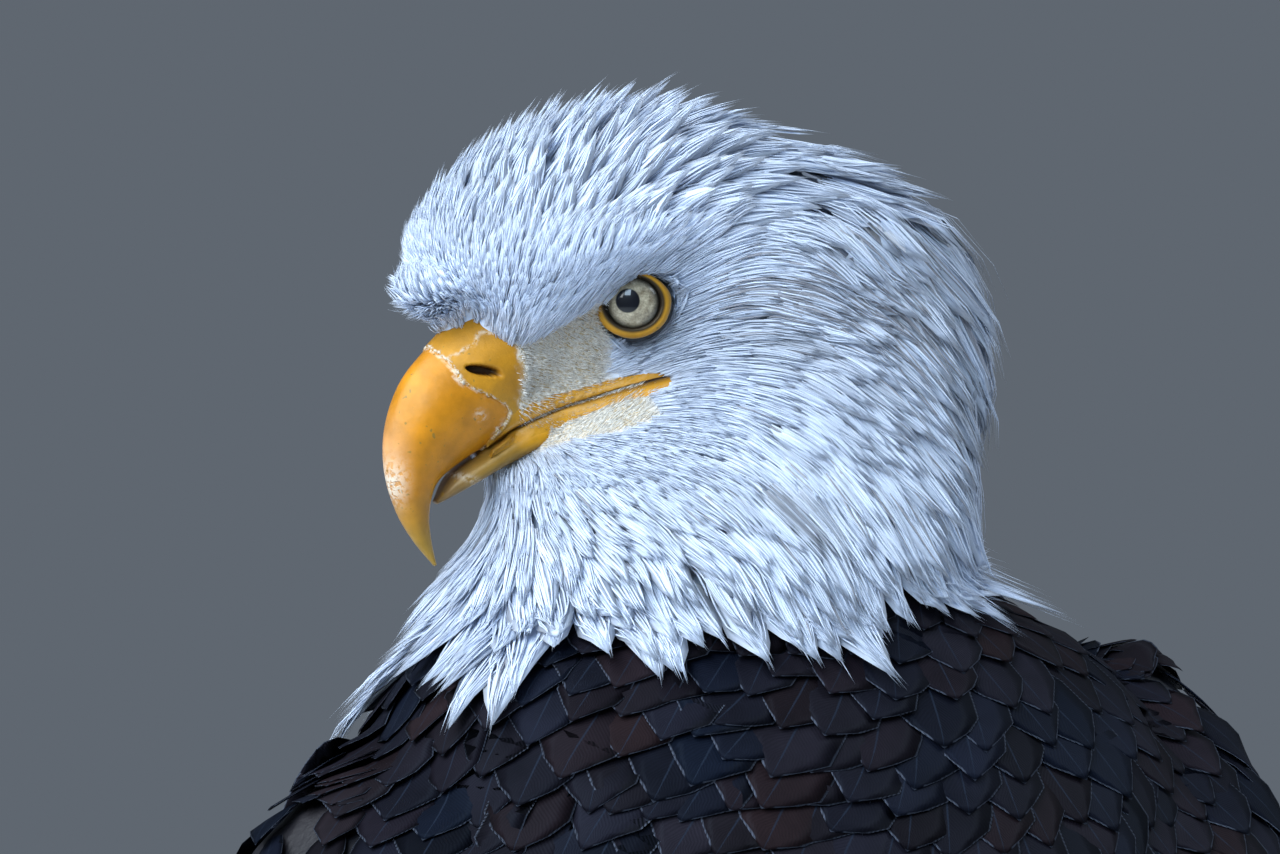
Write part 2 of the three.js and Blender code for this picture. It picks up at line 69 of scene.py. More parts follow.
def set_camera():
    azimuth = radians(CAMERA_AZIMUTH)
    elevation = radians(CAMERA_ELEVATION)
    back = Vector((sin(azimuth) * cos(elevation), -cos(azimuth) * cos(elevation), sin(elevation)))
    right = Vector((cos(azimuth), sin(azimuth), 0))
    up = back.cross(right)
    target = HEAD + LEFT * AIM_LEFT + right * AIM_RIGHT - up * AIM_DOWN
    lens = bpy.data.cameras.new("camera")
    lens.lens = LENS_LENGTH
    lens.sensor_width = 36
    lens.clip_end = 30
    camera = bpy.data.objects.new("camera", lens)
    turn = Matrix((right, up, back)).transposed().to_4x4()
    camera.matrix_world = Matrix.Translation(target + back * CAMERA_DISTANCE) @ turn
    bpy.context.scene.collection.objects.link(camera)
    bpy.context.scene.camera = camera
    return right


CAMERA_RIGHT = set_camera()


# ---- Studio ----
# A cool grey room, a pale floor, and three soft boxes: one high before the bird's face, one near
# the camera that fills the shade and glints in the eye, and a weak one behind.
ROOM_COLOUR = (0.115, 0.135, 0.162, 1)
FLOOR_COLOUR = (0.62, 0.64, 0.66, 1)
KEY_LIGHT = {"place": (1.9, 0.1, 2.2), "size": 2.4, "power": 122, "colour": (0.86, 0.94, 1)}
FILL_LIGHT = {"place": (1.88, 1.74, 1.97), "size": 0.8, "power": 27, "colour": (0.60, 0.80, 1)}
BACK_LIGHT = {"place": (-1.7, 0.6, 2.0), "size": 1.2, "power": 26, "colour": (0.8, 0.9, 1)}


def new_material(name, roughness):
    """A new material, with its node tree and its shader."""
    material = bpy.data.materials.new(name)
    material.use_nodes = True
    shader = material.node_tree.nodes["Principled BSDF"]
    shader.inputs["Roughness"].default_value = roughness
    return material, material.node_tree, shader


def plain_material(name, colour, roughness):
    material, _, shader = new_material(name, roughness)
    shader.inputs["Base Color"].default_value = colour
    return material


def soft_box(name, place, size, power, colour):
    light = bpy.data.lights.new(name, "AREA")
    light.size = size
    light.energy = power
    light.color = colour
    box = bpy.data.objects.new(name, light)
    towards = HEAD - Vector(place)
    box.location = place
    box.rotation_euler = towards.to_track_quat("-Z", "Y").to_euler()
    bpy.context.scene.collection.objects.link(box)


def lay_floor():
    plate = bmesh.new()
    bmesh.ops.create_circle(plate, cap_ends=True, segments=96, radius=3)
    mesh = bpy.data.meshes.new("floor")
    plate.to_mesh(mesh)
    mesh.materials.append(plain_material("floor_paint", FLOOR_COLOUR, 0.7))
    floor = bpy.data.objects.new("floor", mesh)
    bpy.context.scene.collection.objects.link(floor)


room = bpy.data.worlds.new("room")
room.use_nodes = True
room.node_tree.nodes["Background"].inputs["Color"].default_value = ROOM_COLOUR
bpy.context.scene.world = room
bpy.context.scene.view_settings.view_transform = "Standard"
soft_box("key_light", **KEY_LIGHT)
soft_box("fill_light", **FILL_LIGHT)
soft_box("back_light", **BACK_LIGHT)
lay_floor()


# ---- Skin ----
# One skin covers the head, neck, trunk, upper wings and thighs. It lies under the ends of the
# feathers by the depth of the coat, and is bare and yellow only before the eyes. It runs on under
# the cere, which lies over its front end.
FLESH = ["head", "neck", "trunk", "wing_left_arm", "wing_right_arm", "thigh_left", "thigh_right"]
SKIN_GRAIN = 0.0026
EYE_BEHIND, EYE_SIDEWAYS, EYE_RADIUS = -4.5, 17.5, 10.5  # millimetres, in the head's frame
GAZE_FORWARD = radians(28)  # of straight sideways
LID_WIDE, LID_HIGH = 7.3, 6.7
HOOD_EDGE = -77  # height of the white hood's lower edge, below the eyes
HOOD_EDGE_SLOPE = 0.2
# Where the upper face ends at the brow, and where the mouth opens, as forwards and height.
BROW = np.array([(-84, 12), (-14, 10), (1, 7.5), (11, 1), (24, -8), (34, -6)], float)
MOUTH = np.array([(-84, -14), (-13, -18), (0, -21.5), (14, -26), (34, -36)], float)
# The cere's rear edge against the face, as height and forwards.
CERE_REAR = np.array([(-30, 22), (-24.3, 23.6), (-19.3, 23.6), (-14, 24.4), (-10, 25.6), (-5, 29),
                      (-2, 32)], float)


def smooth(values, start, end):
    share = np.clip((values - start) / (end - start), 0, 1)
    return share * share * (3 - 2 * share)


def mix(a, b, share):
    return a + (b - a) * share


def in_head_frame(places):
    """Forwards, to the left and up from between the eyes, in millimetres."""
    away = (np.asarray(places) - np.array(HEAD)) * 1000
    return away @ np.array(FORWARD), away @ np.array(LEFT), away[..., 2]


def head_places(forwards, left, up):
    """The same way back, to metres."""
    forwards, left, up = np.broadcast_arrays(forwards, left, up)
    return (np.array(HEAD) + forwards[..., None] * np.array(FORWARD) / 1000
            + left[..., None] * np.array(LEFT) / 1000 + up[..., None] * np.array((0, 0, 1)) / 1000)


def waves(places, size, seed):
    """Smooth noise between about -1 and 1, as a sum of crossing waves of one size in metres."""
    rng = np.random.default_rng(seed)
    total = np.zeros(len(places))
    for _ in range(7):
        direction = rng.normal(size=3)
        direction *= rng.uniform(0.7, 1.5) * 2 * pi / size / np.linalg.norm(direction)
        total += np.sin(places @ direction + rng.uniform(0, 2 * pi))
    return total / 3.2


def bare_face(places):
    """How bare the skin is: 1 before the eyes, 0 where the feathers are whole."""
    f, l, h = in_head_frame(places)
    brow = np.interp(f, BROW[:, 0], BROW[:, 1])
    mouth = np.interp(f, MOUTH[:, 0], MOUTH[:, 1])
    below_brow = 1 - smooth(h, brow - 5, brow)
    above_mouth = smooth(h, mouth - 2, mouth + 3)
    cere = np.interp(h, CERE_REAR[:, 0], CERE_REAR[:, 1])
    lore = smooth(f, -1, 6) * below_brow * above_mouth * (1 - smooth(f - cere, 0.5, 2.5))
    below = np.interp(f, [-5, 3, 13.5, 22.6], [-27, -31, -35, -40.5])
    jaw = smooth(f, -5, -1) * (1 - smooth(f, 18, 22)) * smooth(h, below - 0.5, below + 1)
    jaw = jaw * (1 - above_mouth)
    return np.maximum(lore, jaw) * smooth(np.abs(l), 4, 8)


def hood_edge(places):
    """How far a place is above the lower edge of the white hood, in millimetres."""
    across = (places - np.array(HEAD)) @ np.array(CAMERA_RIGHT) * 1000
    up = (places[..., 2] - HEAD.z) * 1000
    return up - HOOD_EDGE - HOOD_EDGE_SLOPE * across


def within_hood(places):
    """The same, with the edge broken into clumps."""
    return hood_edge(places) + 6 * waves(places, 0.034, 3)


def coat_depth(places):
    """How far the skin lies below the ends of the feathers, in metres."""
    f, _, h = in_head_frame(places)
    crown = 5 * smooth(h, 14, 34) + 5 * smooth(-f, 20, 60)
    throat = 6 * smooth(-h, 38, 70) * (1 - smooth(-f, 20, 60))
    brow = np.interp(f, BROW[:, 0], BROW[:, 1])
    face = smooth(f, -26, -12) * smooth(h, -42, -34) * (1 - smooth(h, brow - 2, brow + 4))
    hood = mix(3 + np.maximum(crown, throat), 0.9, face)
    return mix(5.5, hood, smooth(hood_edge(places), -5, 30)) / 1000


def finish_piece(name, mesh, materials, nodes=()):
    """A finished piece of the still bird: one body, its finish, and the solids that it stands for."""
    for material in materials:
        mesh.materials.append(material)
    piece = bpy.data.objects.new(name, mesh)
    bpy.context.scene.collection.objects.link(piece)
    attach(piece, "root")
    if nodes:
        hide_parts(*nodes)
    return piece


def joined_copies(nodes):
    """Copies of CAD solids in one mesh, with their loose triangles merged."""
    together = bmesh.new()
    for node in nodes:
        together.from_mesh(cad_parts[node].data)
    bmesh.ops.remove_doubles(together, verts=together.verts, dist=1e-6)
    mesh = bpy.data.meshes.new("copies")
    together.to_mesh(mesh)
    return mesh


def modified(mesh, *modifiers):
    """A mesh with a few modifiers applied, each given as its kind and settings."""
    piece = bpy.data.objects.new("rough", mesh)
    bpy.context.scene.collection.objects.link(piece)
    for kind, settings in modifiers:
        modifier = piece.modifiers.new(kind.lower(), kind)
        for setting, value in settings.items():
            setattr(modifier, setting, value)
    result = bpy.data.meshes.new_from_object(piece.evaluated_get(bpy.context.evaluated_depsgraph_get()))
    bpy.data.objects.remove(piece)
    return result


def vertex_array(mesh, normals=False):
    values = np.empty(len(mesh.vertices) * 3)
    if normals:
        mesh.vertex_normals.foreach_get("vector", values)
    else:
        mesh.vertices.foreach_get("co", values)
    return values.reshape(-1, 3)


def refine_face(mesh):
    """Four times finer faces around the eyes and the mouth."""
    fine = bmesh.new()
    fine.from_mesh(mesh)
    centres = np.array([face.calc_center_median() for face in fine.faces])
    f, l, h = in_head_frame(centres)
    near = (f > -26) & (f < 36) & (np.abs(l) > 7) & (h > -38) & (h < 16)
    fine.faces.ensure_lookup_table()
    edges = {edge for i in np.flatnonzero(near) for edge in fine.faces[i].edges}
    bmesh.ops.subdivide_edges(fine, edges=list(edges), cuts=3, use_grid_fill=True)
    fine.to_mesh(mesh)


def wrap_the_eyes(places):
    """Skin round the eyeballs becomes lids, and the opening between them sinks behind the ball."""
    f, l, h = in_head_frame(places)
    for side in (1, -1):
        centre = np.array([EYE_BEHIND, side * EYE_SIDEWAYS, 0])
        away = np.stack([f, l, h], -1) - centre
        far = np.linalg.norm(away, axis=1)
        gaze = np.array([sin(GAZE_FORWARD), side * cos(GAZE_FORWARD), 0])
        ahead = away @ gaze
        sideways = np.cross(gaze, [0, 0, 1])
        wide = (away @ sideways) / LID_WIDE
        high = away[:, 2] / LID_HIGH
        opening = np.hypot(wide, high) * EYE_RADIUS / np.maximum(far, 1)
        seen = (far < 17) & (ahead > 0)
        inside = seen & (opening < 1.06)
        lids = seen & ~inside
        new_far = np.where(inside, 8.8, np.where(lids, np.maximum(far, EYE_RADIUS + 0.7), far))
        away *= (new_far / np.maximum(far, 1e-6))[:, None]
        f, l, h = (away + centre).T
    return head_places(f, l, h)


def make_skin():
    rough = modified(joined_copies(FLESH + ["cere"]),
                     ("REMESH", {"mode": "VOXEL", "voxel_size": SKIN_GRAIN}),
                     ("SMOOTH", {"factor": 0.5, "iterations": 10}))
    for _ in range(3):  # in thirds, so that the normals can follow
        places = vertex_array(rough)
        places -= vertex_array(rough, normals=True) * coat_depth(places)[:, None] / 3
        rough.vertices.foreach_set("co", places.ravel())
        rough.update()
    mesh = modified(rough, ("SMOOTH", {"factor": 0.5, "iterations": 4}))
    refine_face(mesh)
    mesh.vertices.foreach_set("co", wrap_the_eyes(vertex_array(mesh)).ravel())
    mesh.shade_smooth()
    mesh.update()
    return mesh


def node_of(tree, kind, **settings):
    node = tree.nodes.new(kind)
    for setting, value in settings.items():
        if hasattr(node, setting):
            setattr(node, setting, value)
        else:
            node.inputs[setting.replace("_", " ")].default_value = value
    return node


def noise_in(tree, vector, scale, detail=3.0, roughness=0.55):
    noise = node_of(tree, "ShaderNodeTexNoise", Scale=scale, Detail=detail, Roughness=roughness)
    tree.links.new(vector, noise.inputs["Vector"])
    return noise.outputs["Fac"]


def ramp_in(tree, value, stops):
    """A colour ramp over a value, from pairs of place and colour or grey."""
    ramp = tree.nodes.new("ShaderNodeValToRGB")
    elements = ramp.color_ramp.elements
    while len(elements) < len(stops):
        elements.new(0.5)
    for element, (place, colour) in zip(elements, stops):
        element.position = place
        grey = isinstance(colour, (int, float))
        element.color = (colour, colour, colour, 1) if grey else (*colour, 1)
    tree.links.new(value, ramp.inputs["Fac"])
    return ramp.outputs["Color"]


def blended(tree, share, first, second, way="MIX"):
    """Two colours mixed; each of the three may be a socket or a value."""
    mixer = tree.nodes.new("ShaderNodeMix")
    mixer.data_type = "RGBA"
    mixer.blend_type = way
    for value, socket in ((share, mixer.inputs[0]), (first, mixer.inputs[6]), (second, mixer.inputs[7])):
        if isinstance(value, bpy.types.NodeSocket):
            tree.links.new(value, socket)
        else:
            socket.default_value = value if isinstance(value, float) else (*value, 1)
    return mixer.outputs[2]


def roughen(tree, shader, height, distance, strength=1.0):
    bump = node_of(tree, "ShaderNodeBump", Strength=strength, Distance=distance)
    tree.links.new(height, bump.inputs["Height"])
    if shader.inputs["Normal"].links:
        tree.links.new(shader.inputs["Normal"].links[0].from_socket, bump.inputs["Normal"])
    tree.links.new(bump.outputs["Normal"], shader.inputs["Normal"])


def attribute_of(tree, name):
    return node_of(tree, "ShaderNodeAttribute", attribute_name=name).outputs


def object_place(tree):
    return tree.nodes.new("ShaderNodeTexCoord").outputs["Object"]


def paint(mesh, colours):
    """Keeps one colour for each vertex in the attribute Tint."""
    tint = mesh.color_attributes.new("Tint", "FLOAT_COLOR", "POINT")
    values = np.ones((len(mesh.vertices), 4))
    values[:, :3] = colours
    tint.data.foreach_set("color", values.ravel())


def keep_shares(mesh, name, shares):
    """Keeps a share between 0 and 1 for each vertex in an attribute."""
    kept = mesh.attributes.new(name, "FLOAT", "POINT")
    kept.data.foreach_set("value", np.clip(shares, 0, 1))


def layered(base, *layers):
    """Colours laid over a base, each layer as its share at every place and its colour."""
    colours = np.array(base, float)
    for share, colour in layers:
        colours = mix(colours, np.array(colour), np.clip(share, 0, 1)[:, None])
    return colours


WHITE_FEATHER = (0.72, 0.81, 0.98)
GREY_SHADE = (0.20, 0.22, 0.27)
DARK_FEATHER = (0.0034, 0.0052, 0.0115)
BROWN_FEATHER = (0.012, 0.009, 0.0115)
BODY_SLOPE = radians(53.13)  # of the body's axis, below level
BODY_AXIS = np.array([0, cos(BODY_SLOPE), -sin(BODY_SLOPE)])
BODY_BACK = np.array([0, -BODY_AXIS[2], BODY_AXIS[1]])
SHOULDERS = np.array(HEAD) + np.array([-0.037, 0.012, -0.100])
WHITE_RUMP_STARTS = 292  # along the body's axis, in millimetres
LEG_X = middle_of("tarsus_left").x
LEG_Y = middle_of("tarsus_left").y


def in_body_frame(places):
    """Along the body's axis from the shoulders, to its left, and out of its back, in millimetres."""
    away = (np.asarray(places) - SHOULDERS) * 1000
    return away @ BODY_AXIS, away[..., 0], away @ BODY_BACK


def on_thigh(places):
    across = np.abs(np.abs(places[:, 0]) - LEG_X) / 0.066
    along = np.abs(places[:, 1] - LEG_Y) / 0.088
    return (1 - smooth(np.maximum(across, along), 0.9, 1.1)) * (1 - smooth(places[:, 2], 0.315, 0.345))


def plumage(places):
    """The bird's markings, the same for skin and coat: white hood and tail, dark body, grey flecks by the
    eyes and ears, and painted shade over the nape.
    """
    f, _, h = in_head_frame(places)
    s, _, _ = in_body_frame(places)
    hood = smooth(within_hood(places), -2, 2)
    rump = smooth(s + 8 * waves(places, 0.04, 5), WHITE_RUMP_STARTS - 4, WHITE_RUMP_STARTS + 4)
    rump = rump * (1 - on_thigh(places))
    fleck = waves(places, 0.007, 11)
    above_eye = np.exp(-((f + 1) / 9) ** 2 - ((h - 15) / 4) ** 2)
    behind_eye = np.exp(-((f + 30) / 13) ** 2 - ((h - 4) / 9) ** 2)
    ear = np.exp(-((f + 22) / 7) ** 2 - ((h + 34) / 4) ** 2)
    nape = smooth(-f, 40, 74) * smooth(h, -70, -20)
    shade = (above_eye * 0.55 + behind_eye * 0.5 + ear * 0.75) * (0.55 + 0.6 * fleck)
    # The wavy grey patches over the nape are painted shade between the hackles.
    shade = shade + nape * (0.16 + 0.34 * waves(places, 0.013, 19))
    brown = 0.45 + 0.5 * waves(places, 0.05, 23)
    return layered(np.tile(DARK_FEATHER, (len(places), 1)), (brown, BROWN_FEATHER),
                   (np.maximum(hood, rump), WHITE_FEATHER), (shade * hood, GREY_SHADE))


def stippled_skin(tree, place):
    """Grey bristly stubble over yellow skin."""
    stipple = ramp_in(tree, noise_in(tree, place, 1300, 2.0), [(0.44, 0.0), (0.58, 1.0)])
    mottle = blended(tree, stipple, (0.50, 0.36, 0.16), (0.78, 0.72, 0.62))
    dots = ramp_in(tree, noise_in(tree, place, 2100, 1.0), [(0.60, 0.0), (0.68, 0.8)])
    mottle = blended(tree, dots, mottle, (0.12, 0.11, 0.11))
    patches = ramp_in(tree, noise_in(tree, place, 160, 3.0), [(0.35, 0.0), (0.7, 0.5)])
    return blended(tree, patches, mottle, (0.60, 0.58, 0.55))


def skin_material():
    """Pale skin with fine pores, and stubble over the yellow before the eyes."""
    material, tree, shader = new_material("skin", 0.62)
    place = object_place(tree)
    bare = attribute_of(tree, "Bare")["Fac"]
    mottle = stippled_skin(tree, place)
    tree.links.new(blended(tree, bare, attribute_of(tree, "Tint")["Color"], mottle),
                   shader.inputs["Base Color"])
    roughen(tree, shader, noise_in(tree, place, 700, 4.0), 0.0006, 0.6)
    return material


skin_mesh = make_skin()
skin_places = vertex_array(skin_mesh)
paint(skin_mesh, plumage(skin_places))
keep_shares(skin_mesh, "Bare", bare_face(skin_places))
finish_piece("skin", skin_mesh, [skin_material()], FLESH)


# ---- Bill and cere ----
# The upper bill is a hook of yellow horn. It grows out of the cere, a soft waxy collar with the
# nostrils in it, whose worn edge flakes white where it ends on the horn.
# Columns: place, then forwards and height of the ridge, of the edge, and half width, in millimetres.
BILL = [
    (0, 20, 5, 6, -26, 15),
    (1, 33, -2, 17, -30.5, 13.2),
    (2, 44.4, -11.5, 29, -36.5, 10.8),
    (3, 51.8, -20, 37.6, -41.4, 9.3),
    (4, 56, -31, 42, -45, 7.5),
    (5, 56.2, -42, 43.8, -49, 5.9),
    (6, 53.2, -52, 44.3, -54.6, 4.1),
    (7, 48.6, -59.5, 43.4, -60.4, 2.5),
    (8, 42.8, -66.2, 42, -65.6, 0.8),
]
# The cere's front edge, as height and forwards.
CERE_EDGE = np.array([(-45, 33), (-37.8, 30.5), (-31.5, 27.8), (-27.8, 26), (-25.5, 27.9), (-23.3, 32.8),
                      (-19.8, 39.9), (-14, 42.6), (-11.5, 44.4), (0, 47)], float)
NOSTRIL = {"forwards": 34.3, "up": -16.8, "half_length": 4.2, "half_height": 1.25, "tilt": 9,
           "depth": 3.2}
HORN = (0.64, 0.245, 0.010)
# The pale peach on the front of the hook is a painted highlight.
HORN_PAINTED_HIGHLIGHT = (0.70, 0.38, 0.19)
HORN_TIP = (0.42, 0.26, 0.045)
HORN_SHADED = (0.42, 0.22, 0.03)
CERE_COLOUR = (0.56, 0.25, 0.014)
FLAKE_COLOUR = (0.86, 0.80, 0.68)


def rows_at(rows, places):
    """A table's rows at places between them, on smooth curves. Column 0 holds the places."""
    rows = np.array(rows, float)
    i = np.clip(np.searchsorted(rows[:, 0], places, side="right") - 1, 0, len(rows) - 2)
    before, start, end = rows[np.maximum(i - 1, 0)], rows[i], rows[i + 1]
    after = rows[np.minimum(i + 2, len(rows) - 1)]
    step = end[:, :1] - start[:, :1]
    t = (np.asarray(places)[:, None] - start[:, :1]) / step
    slope_in = (end - before) / (end[:, :1] - before[:, :1]) * step
    slope_out = (after - start) / (after[:, :1] - start[:, :1]) * step
    return (start * (2 * t ** 3 - 3 * t ** 2 + 1) + slope_in * (t ** 3 - 2 * t ** 2 + t)
            + end * (3 * t ** 2 - 2 * t ** 3) + slope_out * (t ** 3 - t ** 2))


def oval_round(sides, square=0.9):
    turn = np.arange(sides) / sides * 2 * pi
    return np.sign(np.cos(turn)) * np.abs(np.cos(turn)) ** square, \
        np.sign(np.sin(turn)) * np.abs(np.sin(turn)) ** square


def bill_surface(first, last, count, sides, grow=0):
    """Forwards, left and up of each point of the upper bill, as rings of stations."""
    rows = rows_at(BILL, np.linspace(first, last, count))
    _, ridge_f, ridge_h, edge_f, edge_h, half = rows.T[:, :, None]
    across, up = oval_round(sides)
    half_f, half_h = (ridge_f - edge_f) / 2, (ridge_h - edge_h) / 2
    longer = 1 + grow / np.hypot(half_f, half_h)
    taper = np.where(up > 0, 1 - 0.28 * up * up, 1 + 0.18 * up)
    return ((ridge_f + edge_f) / 2 + half_f * up * longer, (half + grow) * across * taper,
            (ridge_h + edge_h) / 2 + half_h * up * longer)


def tube_mesh(name, rings):
    """A closed mesh through rings of points, an array of rings by points by three."""
    count, sides, _ = rings.shape
    places = np.concatenate([rings.reshape(-1, 3), rings[0].mean(0)[None], rings[-1].mean(0)[None]])
    first, last = count * sides, count * sides + 1
    faces = []
    for row in range(count - 1):
        for i in range(sides):
            j = (i + 1) % sides
            faces.append((row * sides + i, row * sides + j, (row + 1) * sides + j, (row + 1) * sides + i))
    end = (count - 1) * sides
    for i in range(sides):
        j = (i + 1) % sides
        faces.append((j, i, first))
        faces.append((end + i, end + j, last))
    mesh = bpy.data.meshes.new(name)
    mesh.from_pydata(places.tolist(), [], faces)
    face_out(mesh)
    mesh.shade_smooth()
    return mesh


def face_out(mesh):
    whole = bmesh.new()
    whole.from_mesh(mesh)
    bmesh.ops.recalc_face_normals(whole, faces=whole.faces)
    if whole.calc_volume(signed=True) < 0:
        bmesh.ops.reverse_faces(whole, faces=whole.faces)
    whole.to_mesh(mesh)


def over_horn(places):
    """How far forwards of the cere's ragged edge a place is, in millimetres."""
    f, _, h = in_head_frame(places)
    ragged = 0.45 * waves(places, 0.005, 41) + 0.3 * waves(places, 0.0018, 42)
    return f - np.interp(h, CERE_EDGE[:, 0], CERE_EDGE[:, 1]) + ragged


def in_nostril(places):
    f, _, h = in_head_frame(places)
    tilt = radians(NOSTRIL["tilt"])
    away_f, away_h = f - NOSTRIL["forwards"], h - NOSTRIL["up"]
    along = (away_f * cos(tilt) + away_h * sin(tilt)) / NOSTRIL["half_length"]
    across = (away_h * cos(tilt) - away_f * sin(tilt)) / NOSTRIL["half_height"]
    return 1 - smooth(np.hypot(along, across), 0.8, 1.12)


def horn_material(name, line_scale, gloss):
    """Horn: faint growth lines and clouds, fine scratches, and a soft waxy shine."""
    material, tree, shader = new_material(name, gloss)
    place = object_place(tree)
    clouds = ramp_in(tree, noise_in(tree, place, 130, 4.0), [(0.3, 0.72), (0.7, 1.12)])
    colour = blended(tree, 1.0, attribute_of(tree, "Tint")["Color"], clouds, "MULTIPLY")
    pits = ramp_in(tree, noise_in(tree, place, 620, 1.0), [(0.71, 0.0), (0.76, 1.0)])
    colour = blended(tree, pits, colour, (0.30, 0.17, 0.03))
    flake = attribute_of(tree, "Flake")["Fac"]
    torn = ramp_in(tree, noise_in(tree, place, 900, 3.0), [(0.40, 0.0), (0.52, 1.0)])
    flakes = blended(tree, 1.0, flake, torn, "MULTIPLY")
    colour = blended(tree, flakes, colour, FLAKE_COLOUR)
    bare = attribute_of(tree, "Bare")["Fac"]
    tree.links.new(blended(tree, bare, colour, stippled_skin(tree, place)), shader.inputs["Base Color"])
    shader.inputs["Specular Tint"].default_value = (1, 0.8, 0.5, 1)
    shader.inputs["Coat Weight"].default_value = 0.08
    shader.inputs["Coat Roughness"].default_value = 0.35
    roughen(tree, shader, noise_in(tree, place, line_scale, 5.0, 0.65), 0.0004, 0.35)
    roughen(tree, shader, flakes, 0.0003, 0.8)
    return material


def make_horn():
    surface = bill_surface(1.2, 8, 110, 56)
    line = over_horn(head_places(*surface).reshape(-1, 3)).reshape(surface[0].shape)
    surface = bill_surface(1.2, 8, 110, 56, mix(-4.5, -0.1, smooth(line, -2.6, -1.2)))
    mesh = tube_mesh("bill_horn", head_places(*surface))
    places = vertex_array(mesh)
    f, l, h = in_head_frame(places)
    line = over_horn(places)
    # A band down the front of the hook, round the ridge, is painted pale peach as a highlight.
    ridge = smooth(f, 50, 57) * smooth(-h, 22, 40) * (1 - smooth(-h, 50, 62))
    tip = smooth(-h, 47, 62)
    under = smooth(-(f - 30) * 0.62 - h, 34.5, 38) * (1 - tip)
    paint(mesh, layered(np.tile(HORN, (len(places), 1)), (0.75 * ridge, HORN_PAINTED_HIGHLIGHT),
                        (0.85 * tip, HORN_TIP), (0.35 * under, HORN_SHADED)))
    worn = np.exp(-((f - 55) / 2.6) ** 2 - ((h + 45) / 5) ** 2 - (l / 6) ** 2)
    spot = np.exp(-((f - 34.5) / 1.3) ** 2 - ((h + 28) / 1) ** 2)
    keep_shares(mesh, "Flake", 0.85 * worn + 0.8 * spot + 0.75 * np.exp(-(line / 0.5) ** 2))
    return mesh


def make_cere():
    surface = bill_surface(0, 4.3, 230, 150)
    line = over_horn(head_places(*surface).reshape(-1, 3)).reshape(surface[0].shape)
    rear = np.interp(surface[2], CERE_REAR[:, 0], CERE_REAR[:, 1])
    sunk = 4 * smooth(rear - surface[0], 0.3, 4) * smooth(surface[2], -27.5, -24.5)
    surface = bill_surface(0, 4.3, 230, 150, mix(0.42, -0.7, smooth(line, -0.35, 0.35)) - sunk)
    mesh = tube_mesh("cere", head_places(*surface))
    places = vertex_array(mesh)
    hole = in_nostril(places)
    f, l, h = in_head_frame(places)
    swell = 0.5 * np.exp(-((f - 34) / 6) ** 2 - ((h + 14.5) / 2.5) ** 2) * (1 - hole)
    l = l + np.sign(l) * (swell - NOSTRIL["depth"] * hole)
    mesh.vertices.foreach_set("co", head_places(f, l, h).ravel())
    line = over_horn(places)
    low = smooth(-h, 20, 32)
    # The nostril's opening is painted near black, as painted shade inside the hole.
    paint(mesh, layered(np.tile(CERE_COLOUR, (len(places), 1)), (0.6 * low, (0.60, 0.36, 0.05)),
                        (smooth(hole, 0.25, 0.8), (0.02, 0.006, 0.004))))
    second = np.interp(f, [28, 33, 37, 42], [-6.5, -7.5, -11, -13.5]) - 0.7 * waves(places, 0.006, 43)
    keep_shares(mesh, "Flake", 0.95 * np.exp(-((line + 0.35) / 0.4) ** 2)
                + 0.55 * np.exp(-((h - second) / 0.45) ** 2) * smooth(f, 27, 30))
    rear = np.interp(h, CERE_REAR[:, 0], CERE_REAR[:, 1])
    stippled = (1 - smooth(f - rear + 0.8 * waves(places, 0.003, 44), -0.6, 2.6)) * smooth(h, -28, -25)
    keep_shares(mesh, "Bare", stippled)
    return mesh


# Where the lips meet, as forwards and height.
MOUTH_LINE = np.array([(-9.4, -18.2), (-4.6, -19.9), (3.6, -22.9), (8, -24.6), (13, -26.4), (18.2, -28.6),
                       (23.5, -31.8), (27.5, -34.8), (30, -36.6), (34, -40)], float)


def outermost(tree, forwards, up, side):
    """How far to one side of the head's middle the surfaces in a tree reach, in millimetres, or 0."""
    reach = []
    inwards = -LEFT * side
    for f, h in zip(forwards.tolist(), up.tolist()):
        start = Vector(head_places(np.array(f), np.array(side * 60.0), np.array(h)))
        place = tree.ray_cast(start, inwards, 0.06)[0]
        reach.append(0.0 if place is None else (place - HEAD).dot(LEFT) * side * 1000)
    return np.array(reach)


def search_in(*meshes):
    together = bmesh.new()
    for mesh in meshes:
        together.from_mesh(mesh)
    return BVHTree.FromBMesh(together)


def fill_forehead(f, l, h):
    """The forehead's feathered skin swells forwards over the root of the bill's ridge, to a point."""
    front = np.interp(h, [-11, -9.5, -6, 0, 6, 9], [42, 43.6, 46.2, 48.6, 49.8, 50])
    front -= l * l * np.interp(h, [-10, -6, 0, 6], [0.7, 0.5, 0.25, 0.07])
    ridge = np.interp(f, [33, 44.4], [1, -8]) - 0.05 * l * l
    share = smooth(f, 32, 37) * smooth(h - ridge, -6, -4) * (1 - smooth(h, 4, 9))
    return f + np.maximum(front - f, 0) * share


